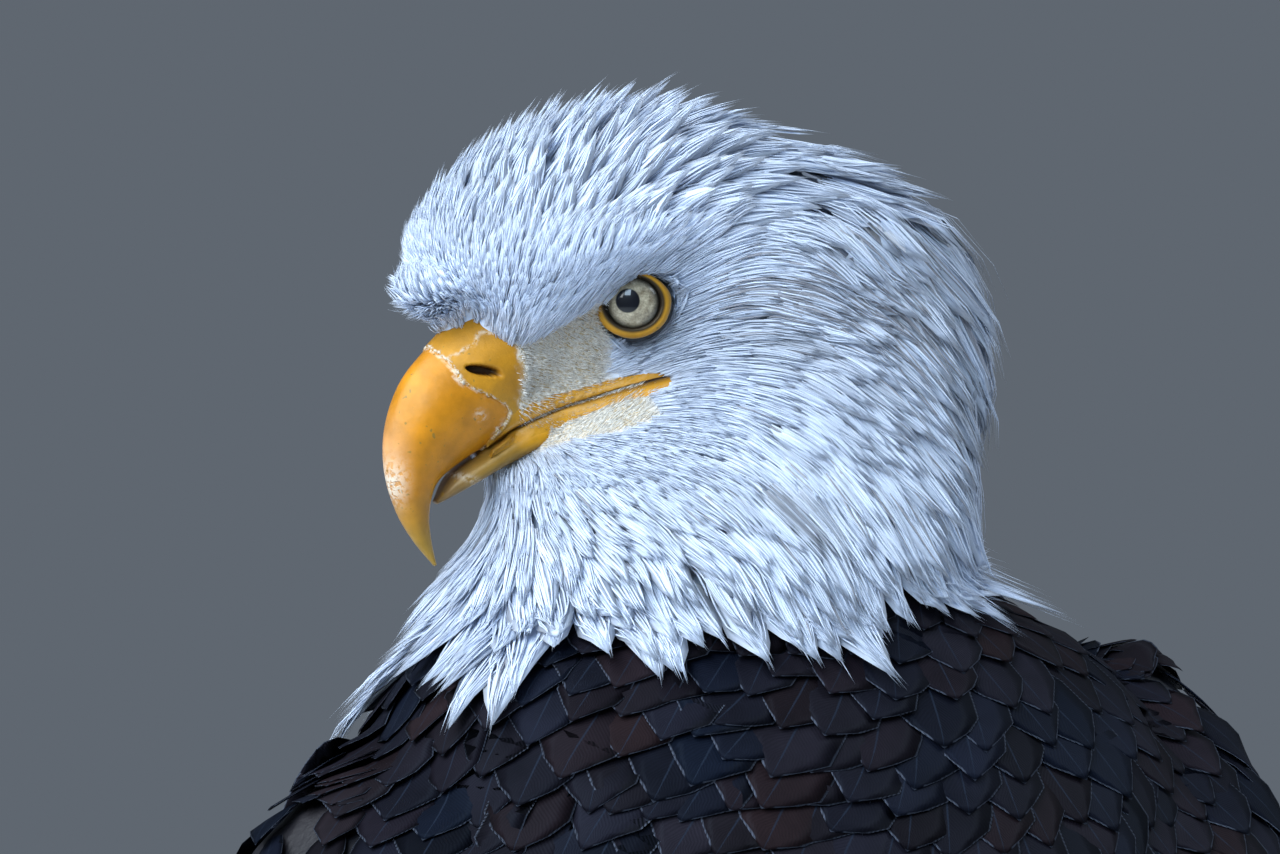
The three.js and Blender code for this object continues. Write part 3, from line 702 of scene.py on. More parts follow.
def settle_skin_on_cere():
    """The skin before the eyes swells out to meet the cere's rear edge, without a step."""
    places = vertex_array(skin_mesh)
    f, l, h = in_head_frame(places)
    brow = np.interp(f, BROW[:, 0], BROW[:, 1])
    near = np.flatnonzero((f > 6) & (f < 48) & (h > -36) & (h < brow + 1) & (np.abs(l) > 1))
    tree = search_in(tube_mesh("whole_bill", head_places(*bill_surface(0, 4.3, 90, 60))))
    side = np.sign(l)
    for one in (1, -1):
        chosen = near[side[near] == one]
        reach = outermost(tree, f[chosen], h[chosen], one)
        share = smooth(f[chosen], 7, 19) * smooth(-h[chosen], -brow[chosen] - 1, -brow[chosen] + 4)
        share *= mix(1, smooth(-h[chosen], 11, 14), smooth(f[chosen], 32, 35))
        wanted = np.maximum(reach - 0.1, np.abs(l[chosen]))
        ahead = smooth(f[chosen] - np.interp(h[chosen], CERE_REAR[:, 0], CERE_REAR[:, 1]), 0.4, 3.0)
        wanted = mix(wanted, np.maximum(reach - 4.6, 1), ahead)
        l[chosen] = one * mix(np.abs(l[chosen]), wanted, share)
    chin = smooth(f, 22, 27) * smooth(-h, 32, 36) * smooth(h, -54, -50)
    l = l * (1 - 0.7 * chin)
    h = h + 2.5 * chin
    from_mouth = h - np.interp(f, MOUTH_LINE[:, 0], MOUTH_LINE[:, 1])
    groove = np.exp(-(from_mouth / 0.9) ** 2) * smooth(f, -10.5, -8.5)
    l = l - np.sign(l) * 1.2 * groove * (np.abs(l) > 4)
    f = fill_forehead(f, l, h)
    skin_mesh.vertices.foreach_set("co", head_places(f, l, h).ravel())
    skin_mesh.update()
    # Along the mouth's groove the skin is also painted dark brown, as painted shade in the crease.
    tint = np.empty(len(f) * 4)
    skin_mesh.attributes["Tint"].data.foreach_get("color", tint)
    tint = tint.reshape(-1, 4)
    tint[:, :3] = mix(tint[:, :3], np.array([0.03, 0.015, 0.008]), np.clip(1.3 * groove, 0, 1)[:, None])
    skin_mesh.attributes["Tint"].data.foreach_set("color", tint.ravel())


horn = horn_material("bill_horn", 420, 0.36)
waxy = horn_material("cere", 900, 0.45)
horn_mesh = make_horn()
cere_mesh = make_cere()
settle_skin_on_cere()
finish_piece("bill_upper_horn", horn_mesh, [horn], ["bill_upper"])
finish_piece("cere_skin", cere_mesh, [waxy], ["cere"])


# ---- Lower bill and lips ----
# The lower bill is a trough of horn that closes inside the upper one. Soft yellow lips run from
# both halves back along the mouth to its corner, under the eye.
# Columns: place, then forwards and height of the rim, of the keel, and half width.
LOWER_BILL = [
    (0, 42.6, -49.6, 42, -50.6, 1.4),
    (1, 38, -43, 39, -49.2, 4.4),
    (2, 31, -38, 33, -46, 7),
    (3, 22, -32, 24.5, -41.5, 9.2),
    (4, 12, -27, 14, -37, 11.6),
    (5, 0, -24, 1, -32.5, 13),
]
# Columns: forwards, height of the outer edge and of the edge at the mouth.
UPPER_LIP = [(-9.6, -17.0, -18.1), (-4.6, -17.8, -19.8), (3.6, -19.4, -22.8), (13, -21.9, -26.3),
             (18.2, -23.2, -28.5), (23.5, -25, -31.7), (27.5, -30, -34.7), (30, -34.5, -36.5)]
LOWER_LIP = [(-9.4, -19.6, -18.4), (-7.5, -21.7, -19.1), (-4.6, -23.4, -20.1), (3.6, -25.9, -23.1),
             (8, -28.4, -24.8), (13, -31.4, -26.6), (20, -35.6, -29.9), (26, -39.4, -34.1),
             (30, -42, -37)]
LOWER_HORN = (0.34, 0.19, 0.035)
LIP_COLOUR = (0.60, 0.28, 0.012)


def make_lower_bill():
    rows = rows_at(LOWER_BILL, np.linspace(0, 5, 60))
    _, rim_f, rim_h, keel_f, keel_h, half = rows.T[:, :, None]
    across, up = oval_round(40)
    share = (up + 1) / 2
    mesh = tube_mesh("lower_bill", head_places(mix(keel_f, rim_f, share), half * across,
                                               mix(keel_h, rim_h, share)))
    places = vertex_array(mesh)
    f, _, h = in_head_frame(places)
    towards_lips = smooth(-f, -28, -20) * smooth(h, -40, -34)
    grey = smooth(-f, -16, -7) * smooth(-h, 29, 34)
    paint(mesh, layered(np.tile(LOWER_HORN, (len(places), 1)), (smooth(f, 30, 42), (0.22, 0.13, 0.05)),
                        (towards_lips, LIP_COLOUR), (grey, (0.30, 0.24, 0.15))))
    keep_shares(mesh, "Flake", 0.4 * np.exp(-((h + 43 + (38 - f) * 0.45) / 0.8) ** 2))
    return mesh


def make_lips(rows, tree, proud):
    """Both lips of one row, left and right, as soft bands proud of the face and the bill."""
    rows = np.array(rows, float)
    stations, steps = 90, 14
    f = np.linspace(rows[0, 0], rows[-1, 0], stations)
    _, outer, mouth = rows_at(rows, f).T
    share = np.linspace(0, 1, steps)
    h = mix(outer[:, None], mouth[:, None], share)
    f = np.repeat(f[:, None], steps, axis=1)
    swell = np.interp(share, [0, 0.12, 0.35, 0.8, 0.93, 1], [-0.7, -0.1, 0.45, 1, 0.75, -0.9])
    ends = np.clip(np.arange(stations) / 5, 0.1, 1)[:, None] ** 0.5
    wrinkle = 0.07 * np.sin(f * 3.1 + h * 2) + 0.05 * np.sin(f * 7.3 - h)
    together = bmesh.new()
    for side in (1, -1):
        l = outermost(tree, f.ravel(), h.ravel(), side).reshape(f.shape)
        l = np.where(l < 3, np.median(l), l)
        for _ in range(12):
            l[1:-1, 1:-1] = (l[:-2, 1:-1] + l[2:, 1:-1] + l[1:-1, :-2] + l[1:-1, 2:]) / 4
            l[:, 0], l[:, -1], l[0], l[-1] = l[:, 1], l[:, -2], l[1], l[-2]
        front = np.clip((stations - 1 - np.arange(stations)) / 14, 0, 1)[:, None]
        out = l + proud(f) * front * (swell * ends + wrinkle) - (1 - ends) * 0.6 - (1 - front) * 0.5
        inside = l - 2.2
        outer_face = np.stack([f, side * out, h], -1)
        inner_face = np.stack([f, side * inside, h], -1)[:, ::-1]
        rings = np.concatenate([outer_face, inner_face], 1)
        together.from_mesh(tube_mesh("lip", head_places(*np.moveaxis(rings, -1, 0))))
    mesh = bpy.data.meshes.new("lips")
    together.to_mesh(mesh)
    places = vertex_array(mesh)
    f, l, h = in_head_frame(places)
    at_mouth = np.interp(f, rows[:, 0], rows[:, 2])
    shade = 0.7 * np.exp(-((h - at_mouth) / 0.5) ** 2)
    paint(mesh, layered(np.tile(LIP_COLOUR, (len(places), 1)), (shade, (0.10, 0.045, 0.01))))
    keep_shares(mesh, "Flake", 0.1 * np.exp(-((np.abs(h - at_mouth) - 1.4) / 0.5) ** 2))
    return mesh


lower_mesh = make_lower_bill()
finish_piece("bill_lower_horn", lower_mesh, [horn], ["bill_lower"])
under_lips = search_in(skin_mesh, cere_mesh)
upper_lips = make_lips(UPPER_LIP, under_lips,
                       lambda f: np.interp(f, [-14, 10, 20, 27], [0.8, 0.9, 0.7, 0.45]))
finish_piece("lips_upper", upper_lips, [waxy])
under_lips = search_in(skin_mesh, lower_mesh)
lower_lips = make_lips(LOWER_LIP, under_lips,
                       lambda f: np.interp(f, [-14, 10, 24], [0.8, 0.9, 0.5]))
finish_piece("lips_lower", lower_lips, [waxy])


# ---- Eyes ----
# Each eyeball is glossy, with a pale grey iris, a dark rim and a black pupil set a little towards
# the bill. A fleshy orange ring lines the lids.
PUPIL_RADIUS = 3.0
PUPIL_FORWARDS, PUPIL_UP = 1.3, 0.6
CORNEA_RISE = 0.55
RING_WIDTH = 2.1
RING_RISE = 1.25
RING_COLOUR = (0.60, 0.29, 0.02)
RING_INNER_COLOUR = (0.02, 0.012, 0.008)
RING_OUTER_COLOUR = (0.42, 0.27, 0.08)


def eye_frame(side):
    """The eyeball's centre, its gaze, and forwards and up across the gaze, in the head's frame."""
    gaze = np.array([sin(GAZE_FORWARD), side * cos(GAZE_FORWARD), 0])
    forwards = np.array([cos(GAZE_FORWARD), -side * sin(GAZE_FORWARD), 0])
    return np.array([EYE_BEHIND, side * EYE_SIDEWAYS, 0]), gaze, forwards, np.array([0, 0, 1])


def round_the_gaze(side, far, lean, turn):
    """Points that far from the eyeball's centre, leaning from its gaze and turned round it."""
    centre, gaze, forwards, up = eye_frame(side)
    return (far * np.cos(lean))[:, :, None] * gaze \
        + (far * np.sin(lean) * np.cos(turn))[:, :, None] * forwards \
        + (far * np.sin(lean) * np.sin(turn))[:, :, None] * up + centre


def make_eye(side):
    centre, gaze, forwards, up = eye_frame(side)
    lean = np.concatenate([np.linspace(0.02, radians(48), 44),
                           np.linspace(radians(52), pi - 0.02, 20)])[:, None]
    turn = np.arange(64) / 64 * 2 * pi
    cornea = CORNEA_RISE * (1 - smooth(np.sin(lean) * EYE_RADIUS, 3.5, 7.4)) * (lean < 1.5)
    ball = round_the_gaze(side, EYE_RADIUS - 0.15 + cornea, lean, turn)
    mesh = tube_mesh("eye", head_places(*np.moveaxis(ball, -1, 0)))
    f, l, h = in_head_frame(vertex_array(mesh))
    away = np.stack([f, l, h], -1) - centre
    across = np.stack([away @ forwards, away @ up, away @ gaze], -1)
    gaze_place = mesh.attributes.new("Gaze", "FLOAT_VECTOR", "POINT")
    gaze_place.data.foreach_set("vector", across.ravel())
    return mesh


def eye_material():
    """Iris fibres run out from the pupil. All of it lies under a clear cornea."""
    material, tree, shader = new_material("eye", 0.35)
    place = attribute_of(tree, "Gaze")["Vector"]

    def centimetres_from(point):
        flat = node_of(tree, "ShaderNodeVectorMath", operation="MULTIPLY")
        tree.links.new(place, flat.inputs[0])
        flat.inputs[1].default_value = (1, 1, 0)
        away = node_of(tree, "ShaderNodeVectorMath", operation="DISTANCE")
        tree.links.new(flat.outputs[0], away.inputs[0])
        away.inputs[1].default_value = point
        scaled = node_of(tree, "ShaderNodeMath", operation="DIVIDE")
        tree.links.new(away.outputs["Value"], scaled.inputs[0])
        scaled.inputs[1].default_value = 10
        return scaled.outputs[0]

    fibres = tree.nodes.new("ShaderNodeTexNoise")
    fibres.inputs["Scale"].default_value = 7
    fibres.inputs["Detail"].default_value = 5
    normal = node_of(tree, "ShaderNodeVectorMath", operation="NORMALIZE")
    tree.links.new(place, normal.inputs[0])
    tree.links.new(normal.outputs[0], fibres.inputs["Vector"])
    iris = ramp_in(tree, fibres.outputs["Fac"], [(0.3, (0.24, 0.19, 0.12)), (0.5, (0.42, 0.36, 0.25)),
                                                 (0.7, (0.58, 0.51, 0.36))])
    mottle = ramp_in(tree, noise_in(tree, place, 2.2, 4.0), [(0.35, 0.75), (0.65, 1.15)])
    iris = blended(tree, 1.0, iris, mottle, "MULTIPLY")
    rim = ramp_in(tree, centimetres_from((0, 0, 0)), [(0.0, 1.0), (0.50, 1.0), (0.58, 0.35), (0.64, 0.03)])
    iris = blended(tree, 1.0, iris, rim, "MULTIPLY")
    edge = PUPIL_RADIUS / 10
    pupil = ramp_in(tree, centimetres_from((PUPIL_FORWARDS, PUPIL_UP, 0)),
                    [(0.0, 0.0), (edge - 0.012, 0.0), (edge + 0.02, 1.0)])
    tree.links.new(blended(tree, pupil, (0.003, 0.004, 0.008), iris), shader.inputs["Base Color"])
    shader.inputs["Specular IOR Level"].default_value = 0.15
    shader.inputs["Coat Weight"].default_value = 0.8
    shader.inputs["Coat Roughness"].default_value = 0.03
    return material


def make_eye_ring(side):
    """The fleshy rim of the lids, as a band on the ball from the opening's edge outwards."""
    centre, _, _, _ = eye_frame(side)
    turn = np.arange(96)[:, None] / 96 * 2 * pi
    band = np.linspace(0, 1, 14)
    opening = 1 / np.hypot(np.cos(turn) / LID_WIDE, np.sin(turn) / LID_HIGH)
    width = RING_WIDTH * (1 - 0.45 * smooth(np.sin(turn), 0.1, 0.9)) * (1 + 0.02 * np.sin(turn * 7))
    out = (opening - 0.35 + width * band) / EYE_RADIUS
    far = EYE_RADIUS + 0.1 + RING_RISE * np.sin(pi * np.clip(band * 0.75 + 0.12, 0, 1)) ** 0.8
    far = far + 0.02 * np.sin(turn * 23) * band
    lean = np.arcsin(np.clip(out, 0, 0.98))
    outer = round_the_gaze(side, far, lean, turn)
    away = outer - centre
    inner = centre + away * (EYE_RADIUS - 0.8) / np.linalg.norm(away, axis=2)[:, :, None]
    rings = np.concatenate([outer, inner[:, ::-1]], axis=1)
    places = head_places(*np.moveaxis(rings, -1, 0))
    count, sides, _ = places.shape
    faces = [(r * sides + i, r * sides + (i + 1) % sides, (r + 1) % count * sides + (i + 1) % sides,
              (r + 1) % count * sides + i) for r in range(count) for i in range(sides)]
    mesh = bpy.data.meshes.new("eye_ring")
    mesh.from_pydata(places.reshape(-1, 3).tolist(), [], faces)
    face_out(mesh)
    mesh.shade_smooth()
    share = np.tile(np.concatenate([band, band[::-1]]), count)
    paint(mesh, layered(np.tile(RING_COLOUR, (len(share), 1)),
                        (1 - smooth(share, 0.08, 0.3), RING_INNER_COLOUR),
                        (smooth(share, 0.75, 1), RING_OUTER_COLOUR)))
    keep_shares(mesh, "Flake", 0 * share)
    return mesh


clear_eye = eye_material()
for side, name in ((1, "left"), (-1, "right")):
    finish_piece(f"eyeball_{name}", make_eye(side), [clear_eye], [f"eye_{name}"])
    finish_piece(f"eye_ring_{name}", make_eye_ring(side), [waxy])


# ---- Bristles before the eyes ----
# Short stiff bristles stand in the stubble between the cere, the brow and the mouth, leaning back.
BRISTLE_LENGTH = 0.0019
BRISTLE_RADIUS = 0.00011
BRISTLES_ON_SQUARE_METRE = 3.2e6


def bristle_tree(material):
    """Cones over a surface where its attribute Bare is high, leaning one way, as real mesh."""
    tree = bpy.data.node_groups.new("bristles", "GeometryNodeTree")
    inputs = {}
    for name, kind in (("Surface", "NodeSocketGeometry"), ("Length", "NodeSocketFloat"),
                       ("Radius", "NodeSocketFloat"), ("Density", "NodeSocketFloat"),
                       ("Lean", "NodeSocketVector"), ("Seed", "NodeSocketInt")):
        inputs[name] = tree.interface.new_socket(name, in_out="INPUT", socket_type=kind).identifier
    tree.interface.new_socket("Bristles", in_out="OUTPUT", socket_type="NodeSocketGeometry")
    start = tree.nodes.new("NodeGroupInput").outputs
    end = tree.nodes.new("NodeGroupOutput")

    def link(socket, node, name):
        tree.links.new(socket, node.inputs[name])

    bare = node_of(tree, "GeometryNodeInputNamedAttribute", data_type="FLOAT", Name="Bare")
    density = node_of(tree, "ShaderNodeMath", operation="MULTIPLY")
    tree.links.new(bare.outputs["Attribute"], density.inputs[0])
    tree.links.new(start["Density"], density.inputs[1])
    points = node_of(tree, "GeometryNodeDistributePointsOnFaces", distribute_method="RANDOM")
    link(start["Surface"], points, "Mesh")
    link(density.outputs[0], points, "Density")
    link(start["Seed"], points, "Seed")
    lean = node_of(tree, "ShaderNodeVectorMath", operation="ADD")
    tree.links.new(points.outputs["Normal"], lean.inputs[0])
    tree.links.new(start["Lean"], lean.inputs[1])
    turn = node_of(tree, "FunctionNodeAlignRotationToVector", axis="Z")
    link(lean.outputs[0], turn, "Vector")
    cone = tree.nodes.new("GeometryNodeMeshCone")
    cone.inputs["Vertices"].default_value = 4
    link(start["Radius"], cone, "Radius Bottom")
    link(start["Length"], cone, "Depth")
    size = node_of(tree, "FunctionNodeRandomValue", data_type="FLOAT")
    size.inputs[2].default_value = 0.6
    size.inputs[3].default_value = 1.3
    copies = tree.nodes.new("GeometryNodeInstanceOnPoints")
    link(points.outputs["Points"], copies, "Points")
    link(cone.outputs["Mesh"], copies, "Instance")
    link(turn.outputs["Rotation"], copies, "Rotation")
    tree.links.new(size.outputs[1], copies.inputs["Scale"])
    real = tree.nodes.new("GeometryNodeRealizeInstances")
    link(copies.outputs["Instances"], real, "Geometry")
    painted = tree.nodes.new("GeometryNodeSetMaterial")
    painted.inputs["Material"].default_value = material
    link(real.outputs[0], painted, "Geometry")
    tree.links.new(painted.outputs[0], end.inputs[0])
    return tree, inputs


def grown_by(tree, inputs, mesh, **values):
    """The mesh that a node tree makes from another mesh, with its named inputs set."""
    bed = bpy.data.objects.new("bed", mesh)
    bpy.context.scene.collection.objects.link(bed)
    modifier = bed.modifiers.new("grown", "NODES")
    modifier.node_group = tree
    for name, value in values.items():
        modifier[inputs[name]] = value
    result = bpy.data.meshes.new_from_object(bed.evaluated_get(bpy.context.evaluated_depsgraph_get()))
    bpy.data.objects.remove(bed)
    return result


def make_bristles(material):
    tree, inputs = bristle_tree(material)
    backwards = tuple(-FORWARD * 1.1 + Vector((0, 0, -0.2)))
    values = {"Length": BRISTLE_LENGTH, "Radius": BRISTLE_RADIUS, "Lean": backwards, "Seed": 5,
              "Density": BRISTLES_ON_SQUARE_METRE}
    parts = [grown_by(tree, inputs, mesh, **values) for mesh in (skin_mesh, cere_mesh)]
    together = bmesh.new()
    for part in parts:
        together.from_mesh(part)
    mesh = bpy.data.meshes.new("bristles")
    together.to_mesh(mesh)
    mesh.materials.clear()
    mesh.shade_smooth()
    return mesh


pale_bristle = plain_material("pale_bristle", (0.84, 0.82, 0.77, 1), 0.7)
finish_piece("lore_bristles", make_bristles(pale_bristle), [pale_bristle])


# ---- White hood ----
# Narrow silky feathers, each a soft vane with a bundle of loose strands over it, lie back from the
# bill in a thick coat. They are shortest round the bill and the eyes, stand up on the crown, and
# grow into long separate hackles on the nape and the neck.
BAKE_PATCH = 0.003  # each tuft's patch on the unwrap of the skin
STRAND_WIDTH = 0.00042
FEATHERS_PART_AT = (27, 0, -26)  # forwards, left and up: they all lie away from this place in the bill


def skin_search(mesh):
    polygons = [tuple(polygon.vertices) for polygon in mesh.polygons]
    tree = BVHTree.FromPolygons([tuple(vertex.co) for vertex in mesh.vertices], polygons)
    normals = vertex_array(mesh, normals=True)
    return tree, np.array([normals[list(polygon)].mean(0) for polygon in polygons])


skin_tree, skin_normals = skin_search(skin_mesh)
skin_mesh.calc_loop_triangles()
skin_triangles = vertex_array(skin_mesh)[np.array([t.vertices[:] for t in skin_mesh.loop_triangles])]


def unit(vectors):
    return vectors / np.maximum(np.linalg.norm(vectors, axis=-1, keepdims=True), 1e-9)


def nearest_on_skin(places):
    found = [skin_tree.find_nearest(place) for place in places.tolist()]
    return np.array([spot[0] for spot in found]), unit(skin_normals[[spot[2] for spot in found]])


def scattered(chosen, spacing, seed):
    """Places on the skin where chosen(places) holds, about spacing(places) apart, in metres."""
    rng = np.random.default_rng(seed)
    corners = skin_triangles[chosen(skin_triangles.mean(1))]
    sides = corners[:, 1:] - corners[:, :1]
    area = np.linalg.norm(np.cross(sides[:, 0], sides[:, 1]), axis=1) / 2
    wanted = rng.poisson(6 * area / spacing(corners.mean(1)) ** 2)
    corners = np.repeat(corners, wanted, axis=0)
    a, b = rng.random((2, len(corners), 1))
    a, b = np.where(a + b > 1, 1 - a, a), np.where(a + b > 1, 1 - b, b)
    places = corners[:, 0] + a * (corners[:, 1] - corners[:, 0]) + b * (corners[:, 2] - corners[:, 0])
    level = np.round(np.log(spacing(places) / 0.001) / 0.2)
    cells = np.floor(places / (0.001 * np.exp(0.2 * level))[:, None])
    _, kept = np.unique(np.column_stack([level, cells]), axis=0, return_index=True)
    return places[np.sort(kept)]


def hood_flow(places, normals):
    """Which way the hood's feathers lie: away from the bill's root, and drooping further back."""
    away = places - head_places(*np.array(FEATHERS_PART_AT, float)[:, None])
    far = np.linalg.norm(away, axis=1)
    lie = unit(away - (away * normals).sum(1, keepdims=True) * normals)
    droop = 1.5 * smooth(far, 0.05, 0.118)
    lie[:, 2] -= droop
    lie -= np.array(CAMERA_RIGHT) * 0.5 * smooth(far, 0.075, 0.125)[:, None]
    return unit(lie - (lie * normals).sum(1, keepdims=True) * normals)


def walked(roots, lengths, flow, count, swerve):
    """Each feather's middle line along the skin, and the skin's normals under it."""
    place = roots
    line, normals = [], []
    past_edge = np.zeros((len(roots), 1), bool)
    for step in range(count):
        straight = place
        place, normal = nearest_on_skin(place)
        if line:
            past_edge |= ((normal * normals[-1]).sum(1) < 0.72)[:, None]
            place = np.where(past_edge, straight, place)
            normal = np.where(past_edge, normals[-1], normal)
        line.append(place)
        normals.append(normal)
        lie = flow(place, normal)
        lie = unit(lie + np.cross(normal, lie) * np.tan(swerve * (0.6 + 0.8 * step / count))[:, None])
        place = place + lie * (lengths / (count - 1))[:, None]
    return np.stack(line, 1), np.stack(normals, 1)


def over_sphere(places):
    """An unwrap of the round head, as a square folded over it from its middle."""
    away = unit(places - np.array(HEAD) - np.array(FORWARD) * -0.02 - np.array((0, 0, -0.02)))
    flat = away / np.abs(away).sum(1, keepdims=True)
    folded = (1 - np.abs(flat[:, [1, 0]])) * np.where(flat[:, :2] >= 0, 1, -1)
    return np.where(flat[:, 2:] >= 0, flat[:, :2], folded) * 0.49 + 0.5


def along_body(places):
    """An unwrap of the long body: round it, and along its axis."""
    s, x, n = in_body_frame(places)
    round_it = np.arctan2(x, n + 15) / (2 * pi) * 0.98 + 0.5
    return np.stack([round_it, np.clip((s + 90) / 700, 0.01, 0.99)], 1)


def blades_mesh(name, rings, tips, colours, vane, bake):
    """One mesh of many closed blades: rings along each of them, then its tip.

    rings is blades x rows x points x 3, colours blades x (rows + 1) x 3, vane holds the points'
    places across and the rows' places along, and bake is each blade's place on the unwrap.
    """
    blades, rows, points, _ = rings.shape
    each = rows * points + 1
    places = np.concatenate([rings.reshape(blades, -1, 3), tips[:, None]], axis=1)
    pattern = [(r * points + i, r * points + (i + 1) % points, (r + 1) * points + (i + 1) % points,
                (r + 1) * points + i) for r in range(rows - 1) for i in range(points)]
    last = (rows - 1) * points
    pattern += [(last + i, last + (i + 1) % points, each - 1) for i in range(points)]
    pattern += [tuple(reversed(range(points)))]
    corners = np.concatenate([np.array(face) for face in pattern])
    sizes = np.array([len(face) for face in pattern])
    corner_vertices = (np.arange(blades)[:, None] * each + corners).ravel()
    face_starts = np.concatenate([[0], np.cumsum(sizes)[:-1]])
    starts = (np.arange(blades)[:, None] * len(corners) + face_starts).ravel()
    mesh = bpy.data.meshes.new(name)
    mesh.vertices.add(blades * each)
    mesh.vertices.foreach_set("co", places.ravel())
    mesh.loops.add(len(corner_vertices))
    mesh.loops.foreach_set("vertex_index", corner_vertices)
    mesh.polygons.add(len(starts))
    mesh.polygons.foreach_set("loop_start", starts)
    mesh.update(calc_edges=True)
    across, along = vane
    tint = np.concatenate([np.repeat(colours[:, :-1], points, axis=1), colours[:, -1:]], axis=1)
    paint(mesh, tint.reshape(-1, 3))
    grid = np.meshgrid(along[:-1], across, indexing="ij")[::-1]
    local = np.concatenate([np.stack(grid, -1).reshape(-1, 2), [[0.5, along[-1]]]])
    flat = bake[:, None] + (local - 0.5) * BAKE_PATCH
    for layer, values in (("Vane", np.broadcast_to(local, flat.shape)), ("OFBake", flat)):
        uv = mesh.uv_layers.new(name=layer)
        uv.data.foreach_set("uv", values.reshape(-1, 2)[corner_vertices].ravel())
    mesh.shade_smooth()
    return mesh


def joined(name, meshes):
    """Several blade meshes of one piece as one, keeping their colours and maps."""
    together = bmesh.new()
    for mesh in meshes:
        together.from_mesh(mesh)
        bpy.data.meshes.remove(mesh)
    whole = bpy.data.meshes.new(name)
    together.to_mesh(whole)
    return whole


def silk_feathers(name, roots, length, width, rise, standing, strands, count, ruffled, gathered, seed):
    """Tufts with a soft vane and loose strands, which gather to a point by the share gathered.

    Rise is how high the tips lie over the skin, standing is 1 where the feathers stand up from it,
    and ruffled says how unevenly they lie.
    """
    rng = np.random.default_rng(seed)
    tufts = len(roots)
    line, normals = walked(roots, length, hood_flow, count, rng.normal(0, 0.04 + 0.05 * ruffled, tufts))
    run = np.linspace(0, 1, count)
    uneven = rng.normal(1, 0.03 + 0.05 * ruffled, tufts)
    lifted = rise * (uneven + 0.22 * ruffled * (rng.random(tufts) < 0.16))
    lowest = 0.5 - 0.46 * standing[:, None]
    height = lifted[:, None] * mix(lowest, 1 + 0.08 * standing[:, None], run)
    line = line + normals * height[:, :, None]
    side = unit(np.cross(np.gradient(line, axis=1), normals))
    up = unit(np.cross(side, np.gradient(line, axis=1)))
    root_colour = plumage(roots + np.array([0, 0, 0.014]))
    shine = rng.normal(1, 0.05, (tufts, 1, 1))
    bake = over_sphere(roots)
    outline = np.array([0.45, 0.95, 1.0, 0.62, 0.0]) if count == 5 else np.array([0.5, 1.0, 0.8, 0.0])
    half = width[:, None] / 2 * outline
    rows = count - 1
    broad = half[:, :, None] * 1.25
    rings = np.stack([line - side * broad - up * 0.0002, line + up * 0.0001,
                      line + side * broad - up * 0.0002], 2)[:, :rows]
    fade = np.linspace(0.92, 1.0, count)[None, :, None]
    under = blades_mesh(name, rings - (up * 0.0003)[:, :rows, None], line[:, -1],
                        root_colour[:, None] * fade * shine, (np.array([0, 0.5, 1]), run), bake)
    place = (np.arange(strands) + 0.5) / strands * 2 - 1
    place = place[None] + rng.normal(0, 0.22, (tufts, strands))
    long = 1.1 - 0.3 * gathered * np.abs(place) + rng.normal(0, 0.1 - 0.05 * gathered, (tufts, strands))
    long = long[:, :, None]
    converge = np.array([0.85, 1.1, 1.0, 0.66, 0.22]) if count == 5 else np.array([0.85, 1.1, 0.85, 0.3])
    converge = mix(1.0, converge, gathered)
    spread = place[:, :, None] * (width / 2)[:, None, None] * converge
    bend = rng.normal(0, 0.05, (tufts, strands, 1)) * width[:, None, None] * run ** 2
    start = line[:, None] + (line[:, None] - line[:, None, :1]) * (long - 1)[..., None]
    shift = rng.uniform(-0.1, 0.08, (tufts, strands, 1)) * length[:, None, None]
    start = start + (line[:, -1:] - line[:, :1])[:, None] * (shift / length[:, None, None])[..., None]
    arch = 0.0004 * (1 - place ** 2)[:, :, None] + rng.normal(0, 0.0001, (tufts, strands, 1))
    arch = arch + 0.0002 * run
    middle = start + side[:, None] * (spread + bend)[..., None] + up[:, None] * arch[..., None]
    thick = STRAND_WIDTH * rng.uniform(0.7, 1.3, (tufts, strands, 1))
    thick = thick * np.clip(width[:, None, None] / 0.003, 0.7, 1.5)
    taper = np.array([0.7, 1, 1, 0.7, 0]) if count == 5 else np.array([0.8, 1, 0.8, 0])
    thick = (thick * taper)[..., None]
    left = middle - side[:, None] * thick / 2
    right = middle + side[:, None] * thick / 2
    rings = np.stack([left, middle + up[:, None] * thick * 0.18, right], 3)[:, :, :rows]
    tone = rng.normal(1, 0.05, (tufts, strands, 1, 1)) * shine[:, None] * fade[:, None]
    f, _, h = in_head_frame(roots)
    behind_eye = smooth(-f, 14, 24) * (1 - smooth(-f, 52, 78)) * np.exp(-((h - 2) / 8) ** 2)
    grey_share = 0.015 + 0.12 * smooth(-f, 34, 66) * smooth(h, -70, -10) + 0.4 * behind_eye
    grey = rng.random((tufts, strands)) < grey_share[:, None]
    tone = tone * np.where(grey[:, :, None, None], [0.50, 0.46, 0.44], 1)
    colours = np.broadcast_to(root_colour[:, None, None], (tufts, strands, count, 3)) * tone
    offsets = np.stack([place, 0 * place], -1) * BAKE_PATCH * 0.4
    over = blades_mesh(name, rings.reshape(-1, rows, 3, 3), middle[:, :, -1].reshape(-1, 3),
                       colours.reshape(-1, count, 3), (np.array([0, 0.5, 1]), run),
                       (bake[:, None] + offsets).reshape(-1, 2))
    return joined(name, [under, over])


